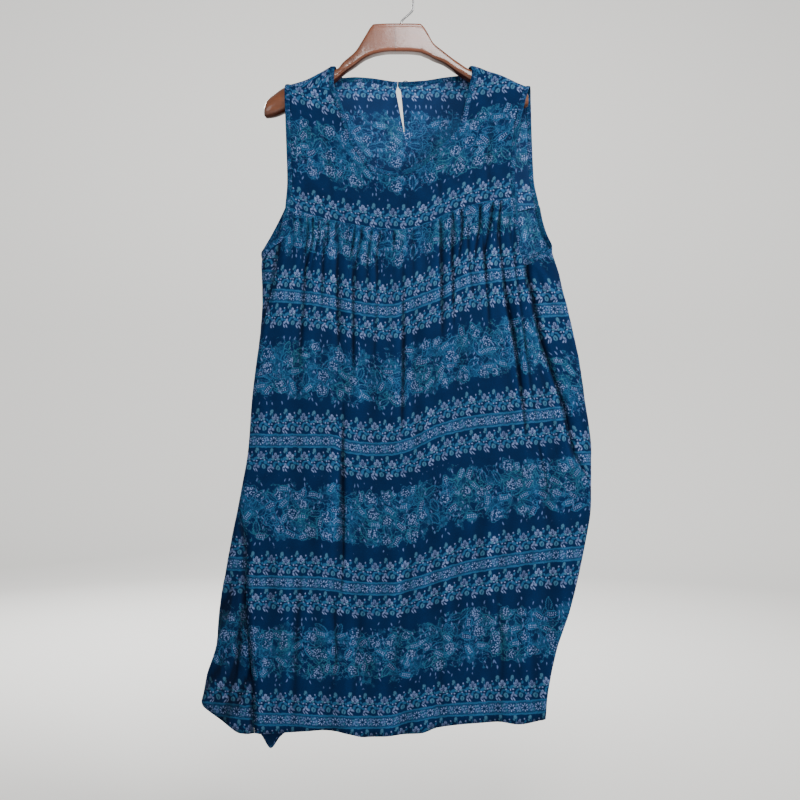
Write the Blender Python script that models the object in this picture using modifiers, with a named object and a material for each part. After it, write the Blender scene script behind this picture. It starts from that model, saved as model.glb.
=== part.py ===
"""A sleeveless dress hanging on a contoured wooden hanger.

The dress hangs flat, front towards -Y. The origin is the highest point inside the hook,
where a rail carries it. Every cloth piece is an open sheet with a wall thickness, laid out
on a flattened tube whose outline, depth and seams are given below in millimetres.
"""

import math

import bmesh
import bpy
import numpy as np
from mathutils import Vector

MM = 0.001

# Cloth, seams and edges
WALL = 1.0 * MM
SEAM_GAP = 0.3 * MM
YOKE_GAP = 0.6 * MM
SIDE_GAP = 0.5 * MM
SHOULDER_GAP = 0.7 * MM
SEAM_COLUMN = 0.8 * MM
BINDING_WIDTH = 7.0 * MM
BINDING_WALL = 1.5 * MM
BINDING_PROUD = 0.4 * MM
BINDING_GAP = 0.7 * MM

# Shoulders, laid over the arms of the hanger
ROLL_START = 45 * MM
ROLL_BLEND = 130 * MM

# Gathers below the yokes
FRONT_GATHERS = 28
BACK_GATHERS = 22
GATHER_DEPTH = 3.2 * MM
GATHER_LENGTH = 150 * MM
GATHER_PUFF = 14 * MM

# Hook, button and hanger
HOOK_RADIUS = 20.5 * MM
HOOK_WIRE = 1.6 * MM
HOOK_X = 1.5 * MM
HOOK_HOLE = 1.95 * MM
HANGER_TOP = -58.5 * MM
HANGER_SIDES = 12
HOOK_SHANK = 26 * MM
HOOK_TURN = 172
BUTTON_RADIUS = 4.5 * MM
BUTTON_THICKNESS = 2.4 * MM
LOOP_WIRE = 0.6 * MM
LOOP_REACH = 4 * MM
LOOP_SPREAD = 1.2 * MM

# Fine columns of the skirts below the left and right armholes
FRONT_SIDES = (6, 8)
BACK_SIDES = (10, 12)
SHOULDER_COLUMNS = 6
SKIRT_ROWS = 12

# Rows of the yokes, from their top edges down, close together where they turn over the ridge.
FRONT_ROWS = (0, 0.025, 0.06, 0.11, 0.19, 0.32, 0.48, 0.65, 0.83, 1)
BACK_ROWS = (0, 0.028, 0.056, 0.085, 0.115, 0.145, 0.178, 0.215, 0.27, 0.42, 0.62, 0.81, 1)


def table(names, *rows):
    """Columns of a table by name. Lengths are given in millimetres and kept in metres."""
    return dict(zip(names.split(), MM * np.array(rows, float).T))


# The flattened tube: outline seen from the front, radius of its side folds and how far
# its middle swells beyond them.
TUBE = table(
    "height left right fold swell",
    (-1230, -329, 229, 8, 12),
    (-1125, -314, 232, 8, 12),
    (-1046, -295, 248, 8, 12),
    (-967, -283, 273, 8, 12),
    (-880, -268, 293, 8, 12),
    (-809, -254, 302, 8, 11),
    (-730, -240, 302, 8, 11),
    (-651, -234, 292, 8, 10),
    (-564, -224, 277, 8, 10),
    (-493, -218, 261, 9, 9),
    (-420, -218, 241, 9, 8),
    (-382, -204, 231, 10, 8),
    (-344, -188, 223, 10, 8),
    (-303, -184, 215, 11, 7),
    (-224, -184, 212, 11, 7),
    (-120, -184, 210, 11, 7),
)

# Side seams, as cloth distance from the middle of the frame along the front.
SIDE_SEAMS = table(
    "height left right",
    (-1230, -227, 322),
    (-1177, -229, 319),
    (-1106, -232, 314),
    (-1044, -237, 307),
    (-965, -243, 305),
    (-879, -241, 306),
    (-839, -250, 305),
    (-780, -254, 296),
    (-730, -245, 272),
    (-667, -240, 259),
    (-604, -233, 237),
    (-549, -222, 220),
    (-494, -206, 209),
    (-440, -194, 199),
    (-400, -186, 198),
)

# Ridge of the shoulders over the hanger and the radius of the cloth's roll there.
SHOULDERS = table(
    "x height roll",
    (-182, -156, 16.5),
    (-155, -148, 16),
    (-126, -135, 14.5),
    (-106, -124, 13.5),
    (0, -114, 13.5),
    (115, -124, 13.5),
    (139, -132, 14.5),
    (158, -138, 15.5),
    (186, -151, 16.5),
    (207, -160, 16.5),
)

# Shoulder seams lie forward of the ridge: distance along the cloth from the ridge.
SHOULDER_SEAMS = table(
    "x forward", (-175, 13), (-111, 38), (120, 22), (160, 12), (200, 12)
)

NECK_ENDS = (-111 * MM, 120 * MM)

FRONT_NECK = table(
    "x height",
    (-111, -161),
    (-100, -183),
    (-86, -228),
    (-67, -263),
    (-44, -292),
    (-5, -301),
    (30, -288),
    (67, -259),
    (91, -236),
    (104, -211),
    (109, -188),
    (116, -157),
    (120, -141),
)

# Neck edge of the back yoke, as cloth distance below the ridge, negative over to the front.
BACK_NECK = table(
    "x below",
    (-111, -38),
    (-110, -18),
    (-108.5, 0),
    (-106, 16),
    (-100, 26),
    (-90, 31),
    (-75, 32),
    (-51, 36),
    (0, 45),
    (35, 42),
    (73, 33),
    (90, 29),
    (104, 25),
    (112, 15),
    (116.5, 0),
    (118.5, -11),
    (120, -22),
)

FRONT_ARMHOLES = table(
    "left_height left right_height right",
    (-350, -173.5, -335, 176.5),
    (-306, -170, -299, 173),
    (-244, -171.5, -260, 175),
    (-197, -173, -227, 179.5),
    (-180, -173.5, -191, 187),
    (-159, -174, -157, 196),
)

BACK_ARMHOLES = table(
    "left_height left right_height right",
    (-342, -169.5, -342, 214),
    (-301, -166.5, -301, 206),
    (-221, -166.5, -222, 203),
    (-166, -171, -167, 201.5),
    (-146, -173, -146, 199),
    (-131, -174, -131, 196),
)

FRONT_YOKE_SEAM = table(
    "x height",
    (-173.5, -349.5),
    (-130, -363.5),
    (-78, -376),
    (0, -385),
    (47, -373),
    (78, -357),
    (125, -343),
    (176.5, -334),
)

BACK_YOKE_SEAM = table(
    "x height",
    (-169.5, -342),
    (-80, -360),
    (20, -367),
    (120, -360),
    (214, -342),
)

# Top of the skirt panels below the armholes, from each yoke seam down to the side seams.
FRONT_UNDERARMS = table(
    "x height",
    (-186, -400.5),
    (-180.5, -383),
    (-175.5, -359),
    (-173.5, -349.5),
    (176.5, -334),
    (177.5, -361),
    (182, -392),
    (189.5, -422),
    (198, -438),
)

BACK_UNDERARMS = table(
    "x height",
    (-245, -400.5),
    (-242, -405),
    (-223, -428),
    (-210, -419),
    (-201, -405),
    (-190, -385),
    (-178, -361),
    (-169.5, -342),
    (214, -342),
    (219, -368),
    (226, -390),
    (233, -403),
    (245, -415.5),
    (266, -426),
    (283, -433),
    (301, -438),
)

FRONT_HEM = table(
    "x height",
    (-228, -1175),
    (-169, -1171),
    (-125, -1167),
    (-78, -1173),
    (-55, -1177),
    (0, -1174),
    (34, -1171),
    (59, -1163),
    (109, -1157),
    (156, -1156),
    (188, -1160),
    (231, -1155),
    (318, -1160),
)

BACK_HEM = table(
    "x height",
    (-423, -1175),
    (-403, -1174),
    (-380, -1163),
    (-357, -1149),
    (-334, -1135),
    (-318, -1124),
    (-290, -1134),
    (-250, -1160),
    (-221, -1184),
    (-206, -1206),
    (-191, -1188),
    (-165, -1172),
    (0, -1168),
    (149, -1160),
)

# Large folds: a line down the cloth, its depth (inwards, or outwards where negative) and
# half its width.
FRONT_FOLDS = table(
    "top_x top bottom_x bottom depth half_width",
    (152, -338, 205, -730, 4.5, 11),
    (203, -700, 236, -850, 4.0, 12),
    (141, -345, 188, -640, 2.5, 9),
    (226, -560, 254, -715, -3.0, 9),
    (64, -362, 70, -560, 3.0, 10),
    (82, -358, 82, -540, 2.5, 9),
    (5, -480, 5, -715, 2.5, 12),
    (-73, -400, -73, -620, 2.5, 11),
    (-95, -378, -95, -575, 2.5, 10),
    (-89, -680, -97, -965, 3.0, 12),
    (-150, -370, -160, -600, 2.0, 12),
    (120, -800, 150, -1150, 2.5, 18),
    (20, -860, -20, -1150, 2.5, 18),
    (-170, -900, -180, -1170, -2.5, 16),
    (200, -950, 200, -1150, -3.0, 16),
)

BACK_FOLDS = table(
    "top_x top bottom_x bottom depth half_width",
    (-120, -350, -130, -720, 3.5, 12),
    (-60, -360, -75, -640, 2.5, 11),
    (-10, -380, 5, -800, 3.0, 13),
    (70, -362, 95, -700, 3.0, 12),
    (140, -355, 175, -760, 3.5, 13),
    (190, -420, 240, -800, 3.0, 13),
    (-150, -760, -190, -1150, 3.5, 16),
    (-40, -820, -70, -1160, -3.0, 18),
    (80, -850, 90, -1150, 3.0, 18),
    (-376, -1000, -383, -1140, 4.0, 10),
)

# Valleys along the side seams.
SEAM_VALLEYS = table(
    "height left right",
    (-1230, 5, 0),
    (-1100, 6, 0),
    (-965, 6, 0),
    (-870, 3, 0),
    (-790, 0, 0),
    (-740, 0, 3),
    (-604, 0, 6),
    (-530, 2, 7),
    (-470, 4, 7),
    (-400, 2, 3),
)
SEAM_VALLEY_WIDTH = 11 * MM

# Body of the hanger, from the left tip to the right one. Its arms carry the shoulders.
HANGER = table(
    "x top bottom depth",
    (-214, -188, -203, 6),
    (-210, -179, -206, 10),
    (-200, -170, -205, 12.5),
    (-182, -158.2, -198, 14),
    (-155, -149.8, -182, 13.6),
    (-126, -137.2, -166, 12.2),
    (-106, -131.5, -151, 10.5),
    (-98, -128.5, -145, 10.2),
    (-90, -119, -138, 10.5),
    (-70, -101.5, -124, 10.5),
    (-61, -88, -117, 10.5),
    (-53, -75, -112, 10.5),
    (-46, -64, -109, 10.5),
    (-41, -59.5, -107, 10.5),
    (-15, -58.5, -103, 10.5),
    (10, -58.5, -103, 10.5),
    (32, -59, -105, 10.5),
    (37, -63.5, -107, 10.5),
    (44.5, -75, -110, 10.5),
    (52, -88.5, -114, 10.5),
    (68, -101.5, -121, 10.5),
    (90, -117.5, -136, 10.5),
    (113, -131, -150, 11),
    (139, -134, -161, 12.2),
    (158, -140, -171, 13),
    (186, -153, -186, 13.8),
    (196, -160, -190, 12),
    (202, -169, -187, 7.5),
)
HANGER_BLOCK = 60 * MM
BLOCK_SQUARENESS = 0.65
ARM_SQUARENESS = 0.95

# Slit below the back of the neck
KEYHOLE_TOP = -147 * MM
KEYHOLE_BOTTOM = -219 * MM
KEYHOLE_X = -3 * MM
KEYHOLE_SLANT = 9 * MM
KEYHOLE_HALF_WIDTH = 3.6 * MM


def follow(across, up, at):
    """Smooth curve through the rows of a table, with no overshoot."""
    order = np.argsort(across)
    across, up = across[order], up[order]
    step = np.diff(across)
    rise = np.diff(up) / step
    slope = np.zeros(len(up))
    product = rise[:-1] * rise[1:]
    same = product > 0
    slope[1:-1][same] = 2 * product[same] / (rise[:-1] + rise[1:])[same]
    slope[0], slope[-1] = rise[0], rise[-1]
    i = np.clip(np.searchsorted(across, at) - 1, 0, len(step) - 1)
    t = np.clip((at - across[i]) / step[i], 0, 1)
    return (
        up[i] * (1 + 2 * t) * (1 - t) ** 2
        + up[i + 1] * (3 - 2 * t) * t**2
        + step[i] * slope[i] * t * (1 - t) ** 2
        - step[i] * slope[i + 1] * t**2 * (1 - t)
    )


def smooth_step(t):
    t = np.clip(t, 0, 1)
    return t * t * (3 - 2 * t)


def bump(t):
    """One soft bump between -1 and 1."""
    return np.where(np.abs(t) < 1, np.cos(np.clip(t, -1, 1) * math.pi / 2) ** 2, 0)


def tube_at(z):
    """Middle, length of the flat stretch, radius of the side folds and swell at a height."""
    left, right, fold, swell = (
        follow(TUBE["height"], TUBE[name], z) for name in "left right fold swell".split()
    )
    return (left + right) / 2, (right - left) / 2 - fold, fold, swell


def tube_point(side, along, z):
    """Point and outward direction on the tube. side is -1 on the front and 1 on the back, and
    along is the distance across that side, going on round the folds."""
    middle, flat, fold, swell = tube_at(z)
    away = np.abs(along - middle)
    angle = np.clip((away - flat) / fold, 0, math.pi)
    past = np.maximum(away - flat - fold * math.pi, 0)
    out = np.where(away < flat, away, flat + fold * np.sin(angle)) - past
    depth = np.cos(angle)
    sign = np.sign(along - middle)
    width = 1 - np.clip(out / (flat + fold), 0, 1) ** 2
    x = middle + sign * out
    y = side * depth * (fold + swell * width**1.2)
    normal = np.stack([sign * np.sin(angle), side * depth, 0 * depth], -1)
    return np.stack([x, y, z + 0 * x], -1), normal


def other_side(along, z):
    """The same place on the tube, measured across the other side."""
    middle, flat, fold, _ = tube_at(z)
    return middle + np.sign(along - middle) * (2 * flat + math.pi * fold) - (
        along - middle
    )


def ridge_at(x):
    """Height of the shoulder ridge, its roll and the cloth height that it stands for."""
    height = follow(SHOULDERS["x"], SHOULDERS["height"], x)
    roll = follow(SHOULDERS["x"], SHOULDERS["roll"], x)
    return height, roll, height + (math.pi / 2 - 1) * roll


def yoke_point(side, x, cloth_height):
    """Point on a yoke, which goes over the shoulder where cloth_height passes the ridge."""
    height, roll, top = ridge_at(x)
    below = top - cloth_height
    angle = np.clip(below / roll, -math.pi / 2, math.pi / 2)
    straight = np.maximum(np.abs(below) - roll * math.pi / 2, 0)
    z = height - roll * (1 - np.cos(angle)) - straight
    middle, flat, fold, swell = tube_at(z)
    away = np.abs(x - middle)
    turn = np.cos(np.arcsin(np.clip((away - flat) / fold, 0, 0.98)))
    width = 1 - np.clip(away / (flat + fold), 0, 1) ** 2
    hanging = (fold + swell * width**1.2) * turn
    blend = smooth_step((height - z - ROLL_START) / ROLL_BLEND)
    y = side * (roll + (hanging - roll) * blend) * np.sin(angle)
    return np.stack([x, y, z], -1)


def panel_grid(top, left, right, bottom, vs):
    """Columns of a panel from its top edge, a row of (x, height), down to its bottom edge. Each
    column keeps its share of the way from the left edge to the right one."""
    top_x, top_height = top
    share = (top_x - left(top_height)) / (right(top_height) - left(top_height))

    def across(height):
        return left(height) + (right(height) - left(height)) * share

    low = bottom(top_x)
    for _ in range(12):
        low = bottom(across(low))
    height = top_height + (low - top_height) * vs[:, None]
    return across(height), height


def spaced(across, up, count, weight=0.4):
    """Places that space count steps evenly along an edge, heights counting for less."""
    fine = np.linspace(across[0], across[-1], 600)
    rise = np.abs(np.diff(up(fine)))
    length = np.concatenate([[0], np.cumsum(np.abs(np.diff(fine)) + weight * rise)])
    return np.interp(np.linspace(0, length[-1], count + 1), length, fine)


def folds_at(folds, x, z):
    """How far large folds push the cloth inwards."""
    total = np.zeros(x.shape)
    for top_x, top, bottom_x, bottom, depth, half_width in zip(*folds.values()):
        down = (top - z) / (top - bottom)
        line = top_x + (bottom_x - top_x) * down
        total += depth * bump((x - line) / half_width) * bump(2 * down - 1) ** 0.5
    return total


def valleys_at(along, z, left_seam, right_seam):
    left, right = (
        follow(SEAM_VALLEYS["height"], SEAM_VALLEYS[name], z) for name in ("left", "right")
    )
    return left * bump((along - left_seam) / SEAM_VALLEY_WIDTH) + right * bump(
        (along - right_seam) / SEAM_VALLEY_WIDTH
    )


def gathers_at(count, across, below):
    """How far the gathers stand out, across from 0 to 1 between the ends of the yoke seam."""
    number = np.clip(np.floor(across * count), 0, count - 1)
    phase = across * count - number
    uneven = 0.5 + 0.5 * np.sin(number * 2.4 + 1.3 * np.sin(number * 1.7))
    depth = GATHER_DEPTH * (0.55 + 0.45 * uneven)
    length = GATHER_LENGTH * (0.45 + 0.75 * uneven)
    opening = 0.25 + 0.75 * smooth_step(below / GATHER_PUFF)
    fade = 1 - smooth_step(below / length)
    inside = (across > 0) & (across < 1)
    return np.where(inside, depth * opening * fade * np.sin(math.pi * phase) ** 2, 0)


def sheet(name, material, points, outward, halve_after=None):
    """An open sheet through a grid of points, given a wall by a Solidify modifier. Below row
    halve_after only every second column goes on."""
    rows, columns = points.shape[:2]
    grid = np.full((rows, columns), -1)
    corners = []
    for row in range(rows):
        step = 2 if halve_after is not None and row > halve_after else 1
        for column in range(0, columns, step):
            grid[row, column] = len(corners)
            corners.append(points[row, column])
    faces = []
    for row in range(rows - 1):
        fine = halve_after is None or row + 1 <= halve_after
        step = 1 if fine else 2
        for column in range(0, columns - 1, step):
            upper = [
                grid[row, c] for c in range(column, column + step + 1) if grid[row, c] >= 0
            ]
            face = [grid[row + 1, column], grid[row + 1, column + step]] + upper[::-1]
            faces.append(face if outward < 0 else face[::-1])
    mesh = bpy.data.meshes.new(name)
    mesh.from_pydata(np.array(corners).tolist(), [], [[int(i) for i in f] for f in faces])
    mesh.update()
    wall_object = add_object(name, mesh, material)
    wall = wall_object.modifiers.new("cloth wall", "SOLIDIFY")
    wall.thickness = WALL
    wall.offset = -1
    mesh.shade_smooth()
    return wall_object, grid


def add_object(name, data, material):
    new_object = bpy.data.objects.new(name, data)
    parts.objects.link(new_object)
    data.materials.append(material)
    return new_object


def finish(name, colour, roughness, metallic=0.0):
    material = bpy.data.materials.new(name)
    material.use_nodes = True
    shader = material.node_tree.nodes["Principled BSDF"]
    shader.inputs["Base Color"].default_value = (*colour, 1)
    shader.inputs["Roughness"].default_value = roughness
    shader.inputs["Metallic"].default_value = metallic
    return material


def make_yoke(name, side, armholes, top_height, seam, columns, rows):
    """A yoke between its armholes, its neck and shoulder edge and its seam to the skirt."""
    neck_left, neck_right = NECK_ENDS
    top_x = np.concatenate(
        [
            np.linspace(armholes["left"][-1], neck_left, SHOULDER_COLUMNS + 1)[:-1],
            spaced(NECK_ENDS, top_height, columns),
            np.linspace(neck_right, armholes["right"][-1], SHOULDER_COLUMNS + 1)[1:],
        ]
    )

    def left(height):
        return follow(armholes["left_height"], armholes["left"], height)

    def right(height):
        return follow(armholes["right_height"], armholes["right"], height)

    def bottom(x):
        return follow(seam["x"], seam["height"], x)

    x, height = panel_grid((top_x, top_height(top_x)), left, right, bottom, np.array(rows))
    piece, grid = sheet(name, cloth, yoke_point(side, x, height), side)
    return piece, grid, (SHOULDER_COLUMNS, SHOULDER_COLUMNS + columns)


def front_top(x):
    """Neck and shoulder edge of the front yoke, as cloth height."""
    seam = ridge_at(x)[2] - follow(SHOULDER_SEAMS["x"], SHOULDER_SEAMS["forward"], x)
    neck = follow(FRONT_NECK["x"], FRONT_NECK["height"], x)
    inside = (x > FRONT_NECK["x"][0]) & (x < FRONT_NECK["x"][-1])
    return np.where(inside, np.minimum(neck, seam), seam)


def back_top(x):
    """Neck and shoulder edge of the back yoke, as cloth height."""
    seam = follow(SHOULDER_SEAMS["x"], SHOULDER_SEAMS["forward"], x) - SHOULDER_GAP
    neck = -follow(BACK_NECK["x"], BACK_NECK["below"], x)
    inside = (x > BACK_NECK["x"][0]) & (x < BACK_NECK["x"][-1])
    return ridge_at(x)[2] + np.where(inside, np.minimum(neck, seam), seam)


def below_armhole(edge_x, edge_height, count):
    """Places along an armhole edge, from the side seam at its first row to the yoke seam, with
    two narrow columns beside the side seam."""
    inward = math.copysign(SEAM_COLUMN, edge_x[-1] - edge_x[0])
    start = edge_x[0] + 2 * inward
    rest = spaced(
        (start, edge_x[-1]), lambda x: follow(edge_x, edge_height, x), count - 2
    )
    return np.concatenate([[edge_x[0], edge_x[0] + inward], rest])


def make_skirt(name, side, underarms, hem, folds, gathers, sides, rows):
    """A skirt panel from its yoke seam and armhole edges to its hem. sides counts the fine
    columns below the left and right armholes."""
    yoke = FRONT_YOKE_SEAM if side < 0 else BACK_YOKE_SEAM
    seam_left, seam_right = yoke["x"][0], yoke["x"][-1]
    ends = int(np.argmax(underarms["x"] == seam_right))
    left_edge = underarms["x"][:ends], underarms["height"][:ends]
    right_edge = underarms["x"][ends:][::-1], underarms["height"][ends:][::-1]

    def side_seam(which, height):
        start = left_edge[1][0] if which == "left" else right_edge[1][0]
        along = follow(SIDE_SEAMS["height"], SIDE_SEAMS[which], np.minimum(height, start))
        if side > 0:
            along = other_side(along, np.minimum(height, start))
        return along

    left_x = below_armhole(*left_edge, sides[0])
    right_x = below_armhole(*right_edge, sides[1])[::-1]
    seam_x = np.linspace(seam_left, seam_right, 4 * gathers + 1)
    top_x = np.concatenate([left_x[:-1], seam_x, right_x[1:]])
    top_height = np.concatenate(
        [
            follow(*left_edge, left_x[:-1]),
            follow(yoke["x"], yoke["height"], seam_x) - YOKE_GAP,
            follow(*right_edge, right_x[1:]),
        ]
    )

    fine = np.array([0, 0.008, 0.018, 0.034, 0.055])
    vs = np.concatenate([fine, np.linspace(fine[-1], 1, rows + 1)[1:]])
    along, height = panel_grid(
        (top_x, top_height),
        lambda z: side_seam("left", z) + SIDE_GAP / 2,
        lambda z: side_seam("right", z) - SIDE_GAP / 2,
        lambda x: follow(hem["x"], hem["height"], x),
        vs,
    )
    points, normals = tube_point(side, along, height)
    across = (top_x - seam_left) / (seam_right - seam_left)
    stand = gathers_at(gathers, across + 0 * height, top_height - height)
    sink = folds_at(folds, along, height) + valleys_at(
        along, height, side_seam("left", height), side_seam("right", height)
    )
    points = points + normals * (stand - sink)[..., None]
    return sheet(name, cloth, points, side, halve_after=len(fine) - 1)


def edge_of(sheet_object, indices):
    """Places and outward directions of a sheet's own corners."""
    vertices = sheet_object.data.vertices
    return [(vertices[i].co.copy(), vertices[i].normal.copy()) for i in indices]


def make_binding(name, chain, closed, flip, width=BINDING_WIDTH):
    """A narrow band that carries the cloth's edge on, made from the edge's points moved out."""
    places = [place for place, _ in chain]
    count = len(chain)
    rings = []
    for i, (place, normal) in enumerate(chain):
        before = places[i - 1] if closed or i else place
        after = places[(i + 1) % count] if closed or i + 1 < count else place
        beside = (after - before).cross(normal).normalized() * flip
        near, far = BINDING_GAP, BINDING_GAP + width
        outer, inner = BINDING_PROUD, BINDING_PROUD - BINDING_WALL
        rings.append(
            [
                place + beside * near + normal * outer,
                place + beside * far + normal * outer,
                place + beside * far + normal * inner,
                place + beside * near + normal * inner,
            ]
        )
    shape = bmesh.new()
    loops = [[shape.verts.new(corner) for corner in ring] for ring in rings]
    spans = range(count if closed else count - 1)
    for i in spans:
        ring, following = loops[i], loops[(i + 1) % count]
        for k in range(4):
            shape.faces.new(
                [ring[k], ring[(k + 1) % 4], following[(k + 1) % 4], following[k]]
            )
    if not closed:
        shape.faces.new(loops[0][::-1])
        shape.faces.new(loops[-1])
    bmesh.ops.recalc_face_normals(shape, faces=shape.faces)
    mesh = bpy.data.meshes.new(name)
    shape.to_mesh(mesh)
    shape.free()
    return add_object(name, mesh, cloth)


def wire(name, points, radius, material, resolution=2):
    curve = bpy.data.curves.new(name, "CURVE")
    curve.dimensions = "3D"
    curve.bevel_depth = radius
    curve.bevel_resolution = resolution
    curve.use_fill_caps = True
    spline = curve.splines.new("POLY")
    spline.points.add(len(points) - 1)
    for corner, point in zip(spline.points, points):
        corner.co = (*point, 1)
    return add_object(name, curve, material)


def make_hanger():
    """The hanger's body, lofted through rounded sections, with a hole for the hook."""
    angles = np.linspace(0, 2 * math.pi, HANGER_SIDES + 1)[:-1]
    shape = bmesh.new()
    loops = []
    for x, top, bottom, depth in zip(*HANGER.values()):
        middle, half = (top + bottom) / 2, (top - bottom) / 2
        power = BLOCK_SQUARENESS if abs(x) < HANGER_BLOCK else ARM_SQUARENESS
        loops.append(
            [
                shape.verts.new(
                    (
                        x,
                        depth * rounded(math.cos(angle), power),
                        middle + half * rounded(math.sin(angle), power),
                    )
                )
                for angle in angles
            ]
        )
    for ring, following in zip(loops, loops[1:]):
        for k in range(len(ring)):
            after = (k + 1) % len(ring)
            shape.faces.new([ring[k], following[k], following[after], ring[after]])
    shape.faces.new(loops[0])
    shape.faces.new(loops[-1][::-1])
    bmesh.ops.recalc_face_normals(shape, faces=shape.faces)
    mesh = bpy.data.meshes.new("hanger")
    shape.to_mesh(mesh)
    shape.free()
    hanger = add_object("hanger", mesh, wood)
    hole = bpy.data.meshes.new("hook_hole")
    cutter = bmesh.new()
    bmesh.ops.create_cone(
        cutter, cap_ends=True, segments=16, radius1=HOOK_HOLE, radius2=HOOK_HOLE, depth=0.03
    )
    cutter.to_mesh(hole)
    cutter.free()
    drill = bpy.data.objects.new("hook_hole", hole)
    drill.location = (HOOK_X, 0, HANGER_TOP)
    as_cutter(drill)
    cut(hanger, drill)
    return hanger


def rounded(value, power):
    """Squares a circle's sine or cosine up into a rounded section."""
    return math.copysign(abs(value) ** power, value)


def as_cutter(helper):
    cutters.objects.link(helper)
    helper.hide_render = True
    helper.display_type = "WIRE"


def cut(target, helper):
    modifier = target.modifiers.new(helper.name, "BOOLEAN")
    modifier.operation = "DIFFERENCE"
    modifier.object = helper
    modifier.solver = "EXACT"


def make_keyhole(back_yoke):
    """The slit below the back of the neck: a narrow drop, closed at the neck edge."""
    shape = bmesh.new()
    outline = []
    heights = np.linspace(0, 1, 9)
    for sign, order in ((1, heights), (-1, heights[::-1])):
        for down in order:
            half = KEYHOLE_HALF_WIDTH * (0.25 + 0.75 * math.sin(math.pi * min(down * 1.25, 1)))
            half = half if down < 1 else 0.8 * MM
            z = KEYHOLE_TOP + (KEYHOLE_BOTTOM - KEYHOLE_TOP) * down
            x = KEYHOLE_X + KEYHOLE_SLANT * down + sign * half
            outline.append(shape.verts.new((x, 0.004, z)))
    face = shape.faces.new(outline)
    grown = bmesh.ops.extrude_face_region(shape, geom=[face])
    moved = [item for item in grown["geom"] if isinstance(item, bmesh.types.BMVert)]
    bmesh.ops.translate(shape, verts=moved, vec=(0, 0.04, 0))
    bmesh.ops.recalc_face_normals(shape, faces=shape.faces)
    mesh = bpy.data.meshes.new("keyhole_cut")
    shape.to_mesh(mesh)
    shape.free()
    helper = bpy.data.objects.new("keyhole_cut", mesh)
    as_cutter(helper)
    cut(back_yoke, helper)


for old in list(bpy.data.objects):
    bpy.data.objects.remove(old)

parts = bpy.data.collections.new("sleeveless_dress_on_hanger")
cutters = bpy.data.collections.new("cutters")
bpy.context.scene.collection.children.link(parts)
bpy.context.scene.collection.children.link(cutters)
cutters.hide_render = True

cloth = finish("printed_cloth", (0.02, 0.13, 0.25), 0.8)
wood = finish("lacquered_wood", (0.16, 0.04, 0.02), 0.3)
steel = finish("chromed_steel", (0.75, 0.75, 0.75), 0.2, 1.0)
shell = finish("dark_button", (0.03, 0.08, 0.14), 0.35)

front_yoke, front_grid, front_neck = make_yoke(
    "front_yoke", -1, FRONT_ARMHOLES, front_top, FRONT_YOKE_SEAM, 36, FRONT_ROWS
)
back_yoke, back_grid, back_neck = make_yoke(
    "back_yoke", 1, BACK_ARMHOLES, back_top, BACK_YOKE_SEAM, 34, BACK_ROWS
)
front_skirt, front_skirt_grid = make_skirt(
    "front_skirt",
    -1,
    FRONT_UNDERARMS,
    FRONT_HEM,
    FRONT_FOLDS,
    FRONT_GATHERS,
    FRONT_SIDES,
    SKIRT_ROWS,
)
back_skirt, back_skirt_grid = make_skirt(
    "back_skirt",
    1,
    BACK_UNDERARMS,
    BACK_HEM,
    BACK_FOLDS,
    BACK_GATHERS,
    BACK_SIDES,
    SKIRT_ROWS,
)


def side_seam_top(front_corner, back_corner):
    """The point midway between the two skirts where a side seam reaches the armhole."""
    front, back = (
        edge_of(skirt, [corner])[0]
        for skirt, corner in ((front_skirt, front_corner), (back_skirt, back_corner))
    )
    return [((front[0] + back[0]) / 2, (front[1] + back[1]).normalized())]


# Both armhole bindings run down the front, under the arm and up the back.
make_binding(
    "armhole_binding_left",
    edge_of(front_yoke, front_grid[:, 0])
    + edge_of(front_skirt, front_skirt_grid[0, FRONT_SIDES[0] - 1 : 0 : -1])
    + side_seam_top(front_skirt_grid[0, 0], back_skirt_grid[0, 0])
    + edge_of(back_skirt, back_skirt_grid[0, 1 : BACK_SIDES[0]])
    + edge_of(back_yoke, back_grid[:0:-1, 0]),
    closed=True,
    flip=1,
)
make_binding(
    "armhole_binding_right",
    edge_of(front_yoke, front_grid[:, -1])
    + edge_of(front_skirt, front_skirt_grid[0, -FRONT_SIDES[1] : -1])
    + side_seam_top(front_skirt_grid[0, -1], back_skirt_grid[0, -1])
    + edge_of(back_skirt, back_skirt_grid[0, -2 : -BACK_SIDES[1] - 1 : -1])
    + edge_of(back_yoke, back_grid[:0:-1, -1]),
    closed=True,
    flip=-1,
)

# The neck binding starts and ends at the slit.
neck_row = back_grid[0]
at_slit = int(np.argmin([abs(back_yoke.data.vertices[i].co.x - KEYHOLE_X) for i in neck_row]))
neck_chain = (
    edge_of(back_yoke, neck_row[at_slit : back_neck[0] : -1])
    + edge_of(front_yoke, front_grid[0, front_neck[0] : front_neck[1] + 1])
    + edge_of(back_yoke, neck_row[back_neck[1] - 1 : at_slit - 1 : -1])
)
neck_chain[0][0].x -= SEAM_GAP
neck_chain[-1][0].x += SEAM_GAP
make_binding("neck_binding", neck_chain, closed=False, flip=-1)
make_keyhole(back_yoke)

# A button and its loop close the slit from outside.
slit_end, slit_normal = neck_chain[-1]
button_x = slit_end.x + BUTTON_RADIUS + 3 * MM
button_z = slit_end.z + BINDING_WIDTH / 2
button_y = slit_end.y + BINDING_PROUD + SEAM_GAP + BUTTON_THICKNESS / 2
disc = bmesh.new()
bmesh.ops.create_cone(
    disc,
    cap_ends=True,
    segments=20,
    radius1=BUTTON_RADIUS,
    radius2=BUTTON_RADIUS * 0.86,
    depth=BUTTON_THICKNESS,
)
button_mesh = bpy.data.meshes.new("neck_button")
disc.to_mesh(button_mesh)
disc.free()
button = add_object("neck_button", button_mesh, shell)
button.location = (button_x, button_y, button_z)
button.rotation_euler = (-math.pi / 2, 0, 0)

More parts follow.
